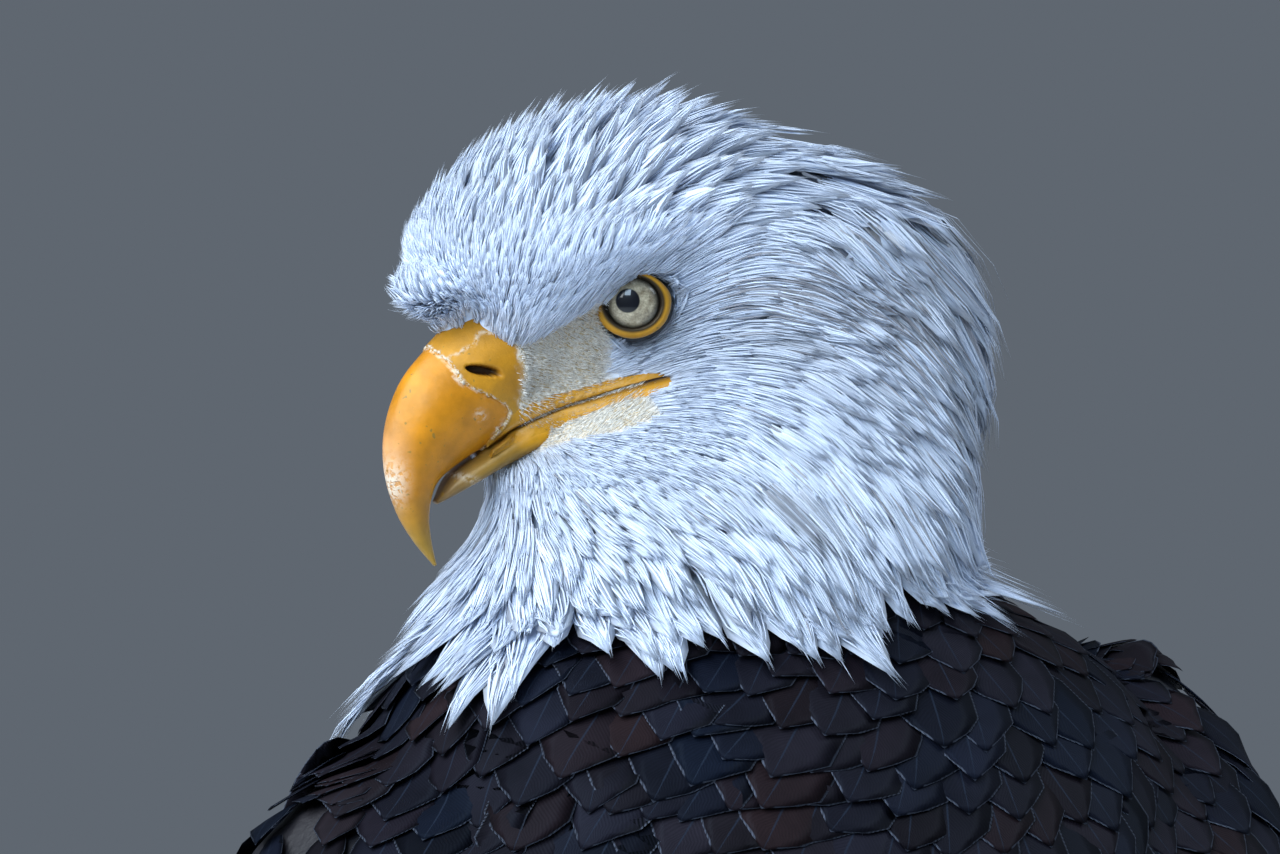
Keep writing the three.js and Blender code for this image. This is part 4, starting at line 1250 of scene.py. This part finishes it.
def silk_material():
    """White feather: soft, a little sheen, with fine grey lines between its barbs."""
    material, tree, shader = new_material("white_feather", 0.75)
    stretch = node_of(tree, "ShaderNodeMapping", vector_type="POINT")
    stretch.inputs["Scale"].default_value = (7, 0.8, 1)
    tree.links.new(node_of(tree, "ShaderNodeUVMap", uv_map="Vane").outputs[0], stretch.inputs["Vector"])
    streaks = ramp_in(tree, noise_in(tree, stretch.outputs[0], 2.2, 3.0), [(0.3, 0.92), (0.6, 1.02)])
    clouds = ramp_in(tree, noise_in(tree, object_place(tree), 90, 2.0), [(0.3, 0.94), (0.7, 1.03)])
    colour = blended(tree, 1.0, attribute_of(tree, "Tint")["Color"], streaks, "MULTIPLY")
    tree.links.new(blended(tree, 1.0, colour, clouds, "MULTIPLY"), shader.inputs["Base Color"])
    shader.inputs["Sheen Weight"].default_value = 0.15
    shader.inputs["Sheen Roughness"].default_value = 0.4
    return material


def hood_length(places):
    """How long the hood's feathers are, in metres."""
    f, _, h = in_head_frame(places)
    length = 6 + 10 * smooth(h, 7, 24) + 8 * smooth(-f, -2, 30) + 20 * smooth(-f, 48, 80)
    length = length + 7 * smooth(-h, 34, 50) + 24 * smooth(-h, 50, 86)
    short = 0.3 * smooth(f, 26, 44) * (1 - smooth(h, 18, 40))
    return length * (1 - short) / 1000


def hood_width(length):
    return np.interp(length, [0.005, 0.008, 0.012, 0.020, 0.030, 0.045, 0.06],
                     [0.0011, 0.0017, 0.0030, 0.0046, 0.0085, 0.0125, 0.015])


def front_of_forehead(places):
    """1 where the forehead's feathers hang over the root of the bill."""
    f, _, h = in_head_frame(places)
    return smooth(f, 36, 42) * (1 - smooth(h, 2, 10))


def hood_standing(places):
    """How steeply the hood's feathers stand: most over the forehead and the crown."""
    f, _, h = in_head_frame(places)
    return np.maximum(smooth(h, 6, 20) * smooth(f, -45, -15), 0.7 * front_of_forehead(places))


def feathered(places):
    """Where the hood's feathers have their roots."""
    f, l, h = in_head_frame(places)
    near_eye = np.zeros(len(places), bool)
    for side in (1, -1):
        centre, gaze, _, _ = eye_frame(side)
        away = np.stack([f, l, h], -1) - centre
        across = away - (away @ gaze)[:, None] * gaze
        reach = np.where(across[:, 2] > 2, 7.8, 8.9)
        near_eye |= (np.linalg.norm(across * [1, 1, 1.08], axis=1) < reach) & (away @ gaze > 0)
    lowest = np.interp(f, [16, 25, 27, 30, 33, 37, 60], [-22, -15, -11, -8, -5, -2.5, -2.5])
    on_ridge = np.interp(f, [33, 44.4], [-1.5, -10.3])
    lowest = np.where((np.abs(l) < 5.5) & (f > 33), on_ridge, lowest)
    on_bill = (f > 14) & (h < lowest) & (h > np.interp(f, [13.5, 22.6, 41.2], [-35, -40, -51]))
    mouth = np.interp(f, MOUTH[:, 0], MOUTH[:, 1])
    lips = (f > -8.6) & (np.abs(h - mouth) < np.interp(f, [-8.6, -6, 0, 14], [0.8, 2.0, 3.2, 4.5]))
    return (within_hood(places) > 0) & (bare_face(places) < 0.55) & ~near_eye & ~on_bill & ~lips


def part_of_hood(places):
    """Which piece of the hood a place belongs to: face, crown, nape, cheek or neck."""
    f, _, h = in_head_frame(places)
    face = (f > -26) & (h < 15) & (h > -46)
    crown = ~face & (h > 12) & (f > -50)
    nape = ~face & ~crown & (f < -36) & (h > -60)
    cheek = ~face & ~crown & ~nape & (h > -60)
    return np.select([face, crown, nape, cheek], [0, 1, 2, 3], 4)


white_feather = silk_material()
# Columns: name, part of the hood, side (0 for both), strands on each feather, stations along it,
# the feathers' spacing in widths, and how ruffled and gathered they are.
HOOD_PIECES = [
    ("face_left_feathers", 0, 1, 3, 4, 0.95, 0.3, 0.4),
    ("face_right_feathers", 0, -1, 3, 4, 0.95, 0.3, 0.4),
    ("crown_feathers", 1, 0, 11, 5, 1.15, 1.0, 1.0),
    ("nape_left_hackles", 2, 1, 14, 5, 0.95, 1.0, 1.0),
    ("nape_right_hackles", 2, -1, 14, 5, 0.95, 1.0, 1.0),
    ("cheek_feathers", 3, 0, 10, 5, 1.1, 0.2, 0.5),
    ("neck_hackles", 4, 0, 18, 5, 1.15, 0.35, 0.9),
]
HOOD_COVERS = {"face_left_feathers": ["head"], "nape_left_hackles": ["neck"]}
for row, (name, part, side, strands, stations, spacing, ruffled, gathered) in enumerate(HOOD_PIECES):
    roots = scattered(lambda places: (feathered(places) & (part_of_hood(places) == part)
                                      & (in_head_frame(places)[1] * side >= 0)),
                      lambda places: spacing * hood_width(hood_length(places)) + 0.0003, 100 + row)
    rng = np.random.default_rng(200 + row)
    full_length = hood_length(roots) * rng.uniform(0.85, 1.2, len(roots))
    standing = hood_standing(roots)
    over_mantle = 1 - smooth(hood_edge(roots), 6, 32)
    rise = coat_depth(roots) + 0.0028 * over_mantle + 0.0018 * front_of_forehead(roots)
    mesh = silk_feathers(name, roots, full_length * (1 - 0.25 * standing), hood_width(full_length), rise,
                         standing, strands, stations, ruffled, gathered, 300 + row)
    finish_piece(name, mesh, [white_feather], HOOD_COVERS.get(name, ()))


# ---- Mantle, breast and wing coverts ----
# Firm dark feathers overlap like shingles in rows round the body. Each is a cupped vane with a
# raised shaft, barbs that slant away from it, and a thin pale worn fringe.
ROW_STEP, ROOT_STEP = 0.0098, 0.0118  # from row to row, and from feather to feather in a row
ROW_START, ROW_END = -62, 392  # along the body's axis, in millimetres
AXIS_DEPTH = 0.012  # the middle of the body, below the line through the shoulders
FEATHER_LENGTH, FEATHER_WIDTH = 0.036, 0.0235
STEEP_STEP = 0.009
SHORTER_ON_STEEPS = 0.6


def spread_rows(along):
    """Stations closer together towards the tip, where the outline turns in."""
    return 1 - (1 - along) ** 1.35


def vane_feathers(name, line, normals, width, tip_shape, cup, colours, bake, roundness=1.05,
                  thick=0.00025):
    """Broad closed vanes along given middle lines. They turn in to their tips from tip_shape on."""
    rows = line.shape[1] - 1
    run = spread_rows(np.linspace(0, 1, rows + 1))
    side = unit(np.cross(np.gradient(line, axis=1), normals))
    up = unit(np.cross(side, np.gradient(line, axis=1)))
    tapering = np.clip((1 - run[None]) / (1 - tip_shape[:, None]), 0, 1)
    outline = np.minimum(0.42 + 1.9 * run, 1) * (1 - (1 - tapering) ** roundness) ** (1 / roundness)
    half = width[:, None] / 2 * outline
    across = np.array([-1, -0.55, 0, 0.55, 1])
    ridge = np.array([-0.4, 0.2, 0.6, 0.2, -0.4])
    out = side[:, :, None] * (half[..., None] * across)[..., None]
    lift = thick * (1 + ridge) - cup[:, None, None] * half[..., None] * across ** 2
    rings = line[:, :, None] + out + up[:, :, None] * lift[..., None]
    tones = np.repeat(colours[:, None], rows + 1, axis=1)
    return blades_mesh(name, rings[:, :rows], line[:, -1], tones, (across / 2 + 0.5, run), bake)


def shingles(name, roots, length, width, rise, seed, pointed=(0.64, 0.74), swerve=0.05):
    """Overlapping vanes that lie down the body, each lifted most at its tip."""
    rng = np.random.default_rng(seed)
    line, normals = walked(roots, length, body_flow, 5, rng.normal(0, swerve, len(roots)))
    run = np.linspace(0, 1, 8)
    station = np.clip(spread_rows(run) * 4, 0, 3.9999)
    first = station.astype(int)
    share = (station - first)[:, None]
    line = mix(line[:, first], line[:, first + 1], share)
    normals = unit(mix(normals[:, first], normals[:, first + 1], share))
    lifted = rise * rng.normal(1, 0.06, len(roots))
    line = line + normals * (lifted[:, None] * (0.2 + 0.8 * spread_rows(run)))[..., None]
    roll = rng.normal(0.05, 0.015, (len(roots), 1, 1))  # one edge lies over the next feather
    normals = unit(normals + roll * unit(np.cross(np.gradient(line, axis=1), normals)))
    tone = plumage(roots - np.array([0, 0, 0.03])) * rng.normal(1, 0.2, (len(roots), 1))
    worn = (rng.random(len(roots)) < 0.3)[:, None] * (tone.mean(1, keepdims=True) < 0.1)
    tone = tone * np.where(worn, [1.35, 1.0, 0.85], 1)
    return vane_feathers(name, line, normals, width, rng.uniform(*pointed, len(roots)),
                         rng.uniform(0, 0.05, len(roots)), np.clip(tone, 0.002, 0.95),
                         along_body(roots))


def body_flow(places, normals):
    """Down the body towards the tail, fanning out from the neck, and straight down on the thighs."""
    s, x, n = in_body_frame(places)
    lie = np.tile(BODY_AXIS, (len(places), 1))
    fan = (1 - smooth(s, 50, 170)) * smooth(n, -60, -10)
    lie[:, 0] += np.clip((x + 25) / 50, -0.35, 1.0) * fan
    lie = mix(lie, np.array([0, 0.12, -1.0]), on_thigh(places)[:, None])
    return unit(lie - (lie * normals).sum(1, keepdims=True) * normals)


def rows_round_body(chosen, step, across_step, seed):
    """Roots in staggered rows round the body's axis, found by rays from all sides."""
    rng = np.random.default_rng(seed)
    roots = []
    radius = 0.08
    for row, s in enumerate(np.arange(ROW_START, ROW_END, step * 1000)):
        count = max(8, round(2 * pi * radius / across_step))
        turns = (np.arange(count) + 0.5 * (row % 2) + rng.uniform(-0.14, 0.14, count)) / count * 2 * pi
        found = []
        for turn in turns:
            out = Vector(BODY_BACK) * cos(turn) + Vector((sin(turn), 0, 0))
            middle = SHOULDERS + BODY_AXIS * (s + rng.uniform(-1.3, 1.3)) / 1000 - BODY_BACK * AXIS_DEPTH
            middle = Vector(middle)
            place, normal, _, _ = skin_tree.ray_cast(middle + out * 0.5, -out)
            if place is not None and normal.dot(out) > 0.45 and normal.dot(BODY_AXIS) < 0.62:
                found.append(place)
        if len(found) > 4:
            radius = float(np.mean([(place - middle).length for place in found]))
        roots += found
    roots = np.array(roots)
    return roots[chosen(roots)]


def steep_roots(chosen, apart, seed):
    """Roots where the front of the body faces forwards, which the rows pass over."""
    def passed_over(places):
        found = chosen(places) & (in_body_frame(places)[2] < 18)
        _, x, n = in_body_frame(places[found])
        out = unit(np.outer(x, [1, 0, 0]) + np.outer(n + AXIS_DEPTH * 1000, BODY_BACK))
        normals = nearest_on_skin(places[found])[1]
        found[found] = ((normals * out).sum(1) < 0.45) & (normals @ BODY_AXIS < -0.2)
        return found

    return scattered(passed_over, lambda places: 0 * places[:, 0] + apart, seed)


def quill_material(name, fringe_colour, shaft_colour, gloss, fringe_width=0.05):
    """Dark vane: slanting barbs, a glossy shaft, and a thin uneven pale fringe."""
    material, tree, shader = new_material(name, gloss)
    split = tree.nodes.new("ShaderNodeSeparateXYZ")
    tree.links.new(node_of(tree, "ShaderNodeUVMap", uv_map="Vane").outputs[0], split.inputs[0])

    def sum_of(operation, first, second):
        result = node_of(tree, "ShaderNodeMath", operation=operation)
        for value, socket in ((first, result.inputs[0]), (second, result.inputs[1])):
            if isinstance(value, bpy.types.NodeSocket):
                tree.links.new(value, socket)
            else:
                socket.default_value = value
        return result.outputs[0]

    off_shaft = sum_of("ABSOLUTE", sum_of("SUBTRACT", split.outputs[0], 0.5), 0.0)
    from_tip = sum_of("SUBTRACT", 1.0, split.outputs[1])
    narrowing = sum_of("MINIMUM", sum_of("MULTIPLY", from_tip, 3.0), 1.0)
    inside = sum_of("MULTIPLY", sum_of("SUBTRACT", 1.0, sum_of("MULTIPLY", off_shaft, 2.0)), narrowing)
    worn = noise_in(tree, object_place(tree), 400, 3.0)
    ragged = sum_of("MULTIPLY", sum_of("SUBTRACT", worn, 0.5), 0.03)
    fringe = ramp_in(tree, sum_of("ADD", inside, ragged),
                     [(0.0, 1.0), (fringe_width * 0.5, 0.8), (fringe_width, 0.0)])
    slant = sum_of("ADD", sum_of("MULTIPLY", split.outputs[1], 190.0),
                   sum_of("MULTIPLY", off_shaft, -120.0))
    barbs = sum_of("SINE", slant, 0.0)
    shaft = ramp_in(tree, off_shaft, [(0.006, 0.6), (0.016, 0.0)])
    clouds = ramp_in(tree, noise_in(tree, object_place(tree), 70, 4.0), [(0.3, 0.75), (0.7, 1.25)])
    colour = blended(tree, 1.0, attribute_of(tree, "Tint")["Color"], clouds, "MULTIPLY")
    lined = ramp_in(tree, sum_of("MULTIPLY", sum_of("ADD", barbs, 1.0), 0.5), [(0.0, 0.86), (1.0, 1.08)])
    colour = blended(tree, 1.0, colour, lined, "MULTIPLY")
    colour = blended(tree, fringe, colour, fringe_colour)
    tree.links.new(blended(tree, shaft, colour, shaft_colour), shader.inputs["Base Color"])
    shader.inputs["Specular IOR Level"].default_value = 0.07
    shader.inputs["Specular Tint"].default_value = (0.55, 0.75, 1, 1)
    roughen(tree, shader, barbs, 0.00003, 0.5)
    return material


def dark_size(places):
    """How large the dark feathers are: 1 on the mantle, smaller by the neck and the wing bends."""
    s, x, n = in_body_frame(places)
    near_neck = 1 - smooth(-hood_edge(places), 0, 45)
    bend = smooth(np.abs(x), 96, 122) * (1 - smooth(s, 40, 110)) * smooth(n, -70, -20)
    lower = smooth(s, 90, 230) * smooth(n, -10, 20)
    under = 1 - smooth(n, -60, -20)
    return 1 - 0.22 * near_neck - 0.42 * bend + 0.75 * lower - 0.15 * under


def dark_root(places):
    """Where the dark body feathers have their roots."""
    s, x, n = in_body_frame(places)
    under_coverts = (s > 188) & (np.abs(x) > 52) & (n > -45)
    dark = (within_hood(places) < 7) & (s < WHITE_RUMP_STARTS + 6)
    return dark & (on_thigh(places) < 0.5) & ~under_coverts


dark_feather = quill_material("dark_feather", (0.085, 0.100, 0.140), (0.016, 0.024, 0.042), 0.6, 0.05)
in_rows = rows_round_body(dark_root, ROW_STEP, ROOT_STEP, 31)
on_steeps = steep_roots(dark_root, STEEP_STEP, 32)
all_roots = np.concatenate([in_rows, on_steeps])
shorter = np.repeat([1, SHORTER_ON_STEEPS], [len(in_rows), len(on_steeps)])
_, sideways, out_of_back = in_body_frame(all_roots)
DARK_PIECES = {
    "mantle": (np.abs(sideways) < 96) & (out_of_back > 0),
    "breast": out_of_back <= -35,
    "wing_coverts_left": (sideways >= 96) | ((sideways > 0) & (out_of_back <= 0)),
    "wing_coverts_right": sideways < 0,
}
taken = np.zeros(len(all_roots), bool)
COVERED = {"mantle": ["trunk"], "breast": [], "wing_coverts_left": ["wing_left_arm"],
           "wing_coverts_right": ["wing_right_arm"]}
for seed, (name, chosen) in enumerate(DARK_PIECES.items()):
    here = chosen & ~taken
    roots = all_roots[here]
    taken |= chosen
    size = dark_size(roots) * np.random.default_rng(seed).uniform(0.92, 1.08, len(roots))
    mesh = shingles(name, roots, FEATHER_LENGTH * size * shorter[here], FEATHER_WIDTH * size,
                    coat_depth(roots) * 0.8, 400 + seed)
    finish_piece(name, mesh, [dark_feather], COVERED[name])


# ---- Thighs ----
# Long loose dark feathers hang round each thigh like trousers, to just above the bare tarsus.
# They are narrower and more pointed than those of the back.
THIGH_ROOT_STEP = 0.0085
THIGH_LENGTH, THIGH_WIDTH, THIGH_RISE = 0.034, 0.011, 0.0055

thigh_roots = scattered(lambda places: on_thigh(places) >= 0.4,
                        lambda places: 0 * places[:, 0] + THIGH_ROOT_STEP, 61)
thigh_roots = thigh_roots[nearest_on_skin(thigh_roots)[1][:, 2] > -0.5]
for side, name in ((1, "left"), (-1, "right")):
    roots = thigh_roots[thigh_roots[:, 0] * side > 0]
    size = np.random.default_rng(62).uniform(0.85, 1.15, len(roots))
    mesh = shingles(f"thigh_{name}_feathers", roots, THIGH_LENGTH * size, THIGH_WIDTH * size,
                    THIGH_RISE + 0 * size, 63, pointed=(0.3, 0.5), swerve=0.1)
    finish_piece(f"thigh_{name}_feathers", mesh, [dark_feather], [f"thigh_{name}"])


# ---- Flight feathers ----
# The folded wing's secondaries, and under them the primaries that reach back over the tail, are
# long stiff vanes stacked one over the next, the innermost on top. Coverts hide their roots.
PRIMARIES, PRIMARY_WIDTH, PRIMARIES_START = 8, 0.026, 300  # starts are along the body's axis
SECONDARIES, SECONDARY_WIDTH, SECONDARIES_START = 13, 0.030, 150
COVERT_ROWS, COVERTS_IN_ROW = 4, 15
COVERTS_START, COVERT_LENGTH, COVERT_WIDTH = 226, 66, 0.024
WING_TIP = 582


def wing_search(name):
    """The outer surface of one wing's solids, and the angles round the body between which it lies."""
    copies = joined_copies([f"wing_{name}_arm", f"wing_{name}_secondaries", f"wing_{name}_primaries"])
    tree = BVHTree.FromPolygons([tuple(v.co) for v in copies.vertices],
                                [tuple(p.vertices) for p in copies.polygons])
    side = 1 if name == "left" else -1

    def outside(s, turn, far):
        out = Vector(BODY_BACK) * cos(turn) + Vector((side * sin(turn), 0, 0))
        return Vector(SHOULDERS + BODY_AXIS * s / 1000 - BODY_BACK * AXIS_DEPTH) + out * far

    def hit_at(s, turn):
        return tree.ray_cast(outside(s, turn, 0.5), outside(s, turn, 0) - outside(s, turn, 1))[:2]

    def place_at(s, turn):
        place, normal = hit_at(s, turn)
        if place is None:
            place, normal, _, _ = tree.find_nearest(outside(s, turn, 0.05))
        return place, normal

    def edges_at(s):
        turns = np.radians(np.arange(-20, 150, 1.0))
        hits = [turn for turn in turns if hit_at(s, turn)[0] is not None]
        return hits[0] + 0.01, hits[-1] - 0.01

    return place_at, edges_at


def long_vanes(name, plan, seed, tips, roundness):
    """Vanes over one wing from a plan: where each starts and ends, and its share of the way down."""
    place_at, edges_at = wing_search(name)
    rng = np.random.default_rng(seed)
    lines, normals, widths = [], [], []
    known = {}
    for start, end, top_share, tip_share, lift, width in plan:
        line, normal = [], []
        for run in np.linspace(0, 1, 10):
            s = mix(start, end, 1 - (1 - run) ** 1.25)
            station = round(s / 12) * 12
            if station not in known:
                known[station] = edges_at(min(station, WING_TIP))
            upper, lower = known[station]
            turn = mix(upper, lower, mix(top_share, tip_share, run))
            place, out = place_at(s, turn)
            line.append(np.array(place) + np.array(out) * (lift * run ** 0.5 - 0.0018))
            normal.append(np.array(out))
        lines.append(line)
        normals.append(normal)
        widths.append(width * rng.uniform(0.95, 1.05))
    lines = np.array(lines)
    for _ in range(2):
        lines[:, 1:-1] = (lines[:, :-2] + 2 * lines[:, 1:-1] + lines[:, 2:]) / 4
    tones = np.tile(DARK_FEATHER, (len(lines), 1)) * rng.normal(1.15, 0.15, (len(lines), 1))
    return vane_feathers("flight", lines, unit(np.array(normals)), np.array(widths),
                         rng.uniform(*tips, len(lines)), np.full(len(lines), 0.06), tones,
                         along_body(lines[:, 0]), roundness, 0.0004)


flight = quill_material("flight_feather", (0.045, 0.05, 0.07), (0.02, 0.02, 0.022), 0.5, 0.04)
for name in ("left", "right"):
    plan = []
    for i in range(PRIMARIES):
        share = i / (PRIMARIES - 1)
        plan.append((PRIMARIES_START, mix(586, 452, share ** 0.8), mix(0.94, 0.3, share),
                     mix(0.55, 0.42, share), -0.002 + 0.0005 * i, PRIMARY_WIDTH))
    for i in range(SECONDARIES):
        share = i / (SECONDARIES - 1)
        plan.append((SECONDARIES_START, mix(418, 372, share), mix(0.95, 0.05, share),
                     mix(0.93, 0.12, share), 0.0002 + 0.0003 * i, SECONDARY_WIDTH))
    mesh = long_vanes(name, plan, 71, (0.86, 0.9), 2.2)
    finish_piece(f"flight_feathers_{name}", mesh, [flight],
                 [f"wing_{name}_secondaries", f"wing_{name}_primaries"])
    rng = np.random.default_rng(72)
    plan = []
    for row in range(COVERT_ROWS):
        for i in range(COVERTS_IN_ROW):
            share = (i + 0.5 * (row % 2) + rng.uniform(-0.2, 0.2)) / (COVERTS_IN_ROW - 0.5)
            start = COVERTS_START - 17 * row + rng.uniform(-6, 6)
            end = start + COVERT_LENGTH - 5 * row
            plan.append((start, end, mix(0.97, 0.03, share), mix(0.955, 0.045, share),
                         0.0035 + 0.0009 * row, COVERT_WIDTH - 0.001 * row))
    mesh = long_vanes(name, plan, 73, (0.55, 0.7), 1.15)
    finish_piece(f"greater_coverts_{name}", mesh, [dark_feather])


# ---- Tail ----
# Twelve broad white feathers make a rounded fan. White coverts hide their roots above and below.
TAIL_STARTS = 296  # along the body's axis, in millimetres
TAIL_PITCH = radians(58)
TAIL_LENGTH = 306
TAIL_HALF_WIDTH, TAIL_HALF_ROOT = 66, 24
TAIL_FEATHERS = 12
TAIL_FEATHER_WIDTH = 0.027
TAIL_COVERT_LENGTH, TAIL_COVERT_WIDTH, TAIL_COVERT_RISE = 0.062, 0.017, 0.005


def make_tail():
    start = SHOULDERS + BODY_AXIS * TAIL_STARTS / 1000 - BODY_BACK * 0.006
    ahead = np.array([0, cos(TAIL_PITCH), -sin(TAIL_PITCH)])
    up = np.array([0, sin(TAIL_PITCH), cos(TAIL_PITCH)])
    lines = []
    for i in range(TAIL_FEATHERS):
        side = (2 * i + 1) / TAIL_FEATHERS - 1
        run = spread_rows(np.linspace(0, 1, 16))
        half = mix(TAIL_HALF_ROOT, TAIL_HALF_WIDTH - 5, run ** 0.8)
        length = TAIL_LENGTH - 26 * side * side - 2
        over = 1.5 - 2.4 * abs(side)
        arch = -10 * side * side * (1 - 0.4 * run) + over
        lines.append(start + np.outer(length * run, ahead) / 1000 + np.outer(arch, up) / 1000
                     + np.outer(side * half, [1, 0, 0]) / 1000)
    lines = np.array(lines)
    normals = np.broadcast_to(up, lines.shape) + 0 * lines
    order = np.abs(np.linspace(-1, 1, TAIL_FEATHERS))
    tones = np.tile(WHITE_FEATHER, (TAIL_FEATHERS, 1)) * (1 - 0.04 * order[:, None])
    return vane_feathers("tail", lines, normals, np.full(TAIL_FEATHERS, TAIL_FEATHER_WIDTH),
                         np.full(TAIL_FEATHERS, 0.93), np.full(TAIL_FEATHERS, 0.03), tones,
                         along_body(lines[:, 3]), 2.2, 0.0005)


def tail_covert_roots(places):
    s, _, _ = in_body_frame(places)
    return (s >= WHITE_RUMP_STARTS - 6) & (on_thigh(places) < 0.5)


white_vane = quill_material("white_vane", (0.84, 0.87, 0.92), (0.70, 0.70, 0.68), 0.7, 0.03)
finish_piece("tail_feathers", make_tail(), [white_vane], ["tail"])
roots = rows_round_body(tail_covert_roots, 0.012, 0.0105, 81)
mesh = shingles("tail_coverts", roots, np.full(len(roots), TAIL_COVERT_LENGTH),
                np.full(len(roots), TAIL_COVERT_WIDTH), np.full(len(roots), TAIL_COVERT_RISE), 82)
finish_piece("tail_coverts", mesh, [white_vane])


# ---- Legs and feet ----
# The tarsi are bare below the trousers. Their fronts and the tops of the toes are covered with
# broad overlapping scutes, the rest with small round scales, and the soles are padded.
LEG_GRAIN = 0.0011
TARSUS_SCUTE, TOE_SCUTE = 5.2, 3.9  # millimetres from one scute to the next
LEG_COLOUR = (0.62, 0.36, 0.035)
SOLE_COLOUR = (0.36, 0.25, 0.09)
GROOVE_COLOUR = (0.20, 0.10, 0.02)
CLAW_COLOUR = (0.010, 0.009, 0.010)
CLAW_TOP_COLOUR = (0.035, 0.032, 0.034)


def leg_material():
    """Yellow scaly skin, darker in the grooves between its scales."""
    material, tree, shader = new_material("leg_skin", 0.5)
    place = object_place(tree)
    cells = node_of(tree, "ShaderNodeTexVoronoi", feature="DISTANCE_TO_EDGE", Scale=560.0)
    tree.links.new(place, cells.inputs["Vector"])
    scales = ramp_in(tree, cells.outputs["Distance"], [(0.0, 0.0), (0.16, 1.0)])
    small = blended(tree, attribute_of(tree, "Scute")["Fac"], scales, (1.0, 1.0, 1.0))
    clouds = ramp_in(tree, noise_in(tree, place, 90, 4.0), [(0.3, 0.75), (0.7, 1.12)])
    colour = blended(tree, 1.0, attribute_of(tree, "Tint")["Color"], clouds, "MULTIPLY")
    grooves = ramp_in(tree, small, [(0.0, 0.55), (0.6, 1.0)])
    tree.links.new(blended(tree, 1.0, colour, grooves, "MULTIPLY"), shader.inputs["Base Color"])
    roughen(tree, shader, small, 0.0005, 0.7)
    roughen(tree, shader, noise_in(tree, place, 900, 4.0), 0.0002, 0.5)
    return material


def make_leg(name):
    """One tarsus with its foot, and scutes raised on it along the tarsus and along each toe."""
    mesh = modified(joined_copies([f"tarsus_{name}", f"foot_{name}"]),
                    ("REMESH", {"mode": "VOXEL", "voxel_size": LEG_GRAIN}),
                    ("SMOOTH", {"factor": 0.5, "iterations": 5}))
    places = vertex_array(mesh)
    normals = vertex_array(mesh, normals=True)
    ankle = np.array(middle_of(f"tarsus_{name}"))
    ankle[2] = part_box(f"tarsus_{name}")[0][2]
    ring = smooth(places[:, 2], ankle[2] - 0.004, ankle[2] + 0.006)
    run = (places[:, 2] - ankle[2]) * 1000 / TARSUS_SCUTE
    front = smooth(-normals[:, 1], 0.15, 0.55) * ring
    raised = front * (0.55 * (run % 1) ** 0.6 - 0.15)
    groove = front * np.exp(-(np.minimum(run % 1, 1 - run % 1) / 0.10) ** 2)
    scute = front.copy()
    nearest = np.full(len(places), 1.0)
    for toe in range(1, 5):
        tip = np.array(middle_of(f"claw_{name}_{toe}"))
        ahead = unit(np.array([tip[0] - ankle[0], tip[1] - ankle[1], 0]))
        away = places - [ankle[0], ankle[1], 0]
        along = away @ ahead
        aside = np.abs(away @ np.array([-ahead[1], ahead[0], 0])) + np.where(along < 0.006, 1, 0)
        own = aside < nearest
        nearest = np.where(own, aside, nearest)
        run = along * 1000 / TOE_SCUTE
        top = smooth(normals[:, 2], 0.15, 0.6) * (1 - ring) * own * (1 - smooth(aside, 0.006, 0.009))
        raised = np.where(own, raised * ring + top * (0.5 * (1 - run % 1) ** 0.6 - 0.15), raised)
        between = np.exp(-(np.minimum(run % 1, 1 - run % 1) / 0.12) ** 2)
        groove = np.where(own, groove * ring + top * between, groove)
        scute = np.where(own, np.maximum(scute * ring, top), scute)
    places = places + normals * raised[:, None] / 1000
    places[:, 2] = np.maximum(places[:, 2], 0)
    mesh.vertices.foreach_set("co", places.ravel())
    sole = smooth(-normals[:, 2], 0.2, 0.7) * (1 - ring)
    paint(mesh, layered(np.tile(LEG_COLOUR, (len(places), 1)), (0.8 * sole, SOLE_COLOUR),
                        (0.75 * groove, GROOVE_COLOUR)))
    keep_shares(mesh, "Scute", scute)
    mesh.shade_smooth()
    return mesh


def make_claw(node):
    """One black talon, paler and greyer along its top."""
    mesh = modified(joined_copies([node]), ("SUBSURF", {"levels": 2, "render_levels": 2}))
    places = vertex_array(mesh)
    height = smooth(places[:, 2], places[:, 2].min(), places[:, 2].max())
    paint(mesh, layered(np.tile(CLAW_COLOUR, (len(places), 1)), (0.5 * height, CLAW_TOP_COLOUR)))
    keep_shares(mesh, "Flake", 0 * height)
    mesh.shade_smooth()
    return mesh


leg_skin = leg_material()
claw_horn = horn_material("claw_horn", 500, 0.25)
for name in ("left", "right"):
    finish_piece(f"leg_{name}", make_leg(name), [leg_skin],
                 [f"tarsus_{name}", f"foot_{name}"])
    for toe in range(1, 5):
        node = f"claw_{name}_{toe}"
        finish_piece(f"{node}_horn", make_claw(node), [claw_horn], [node])
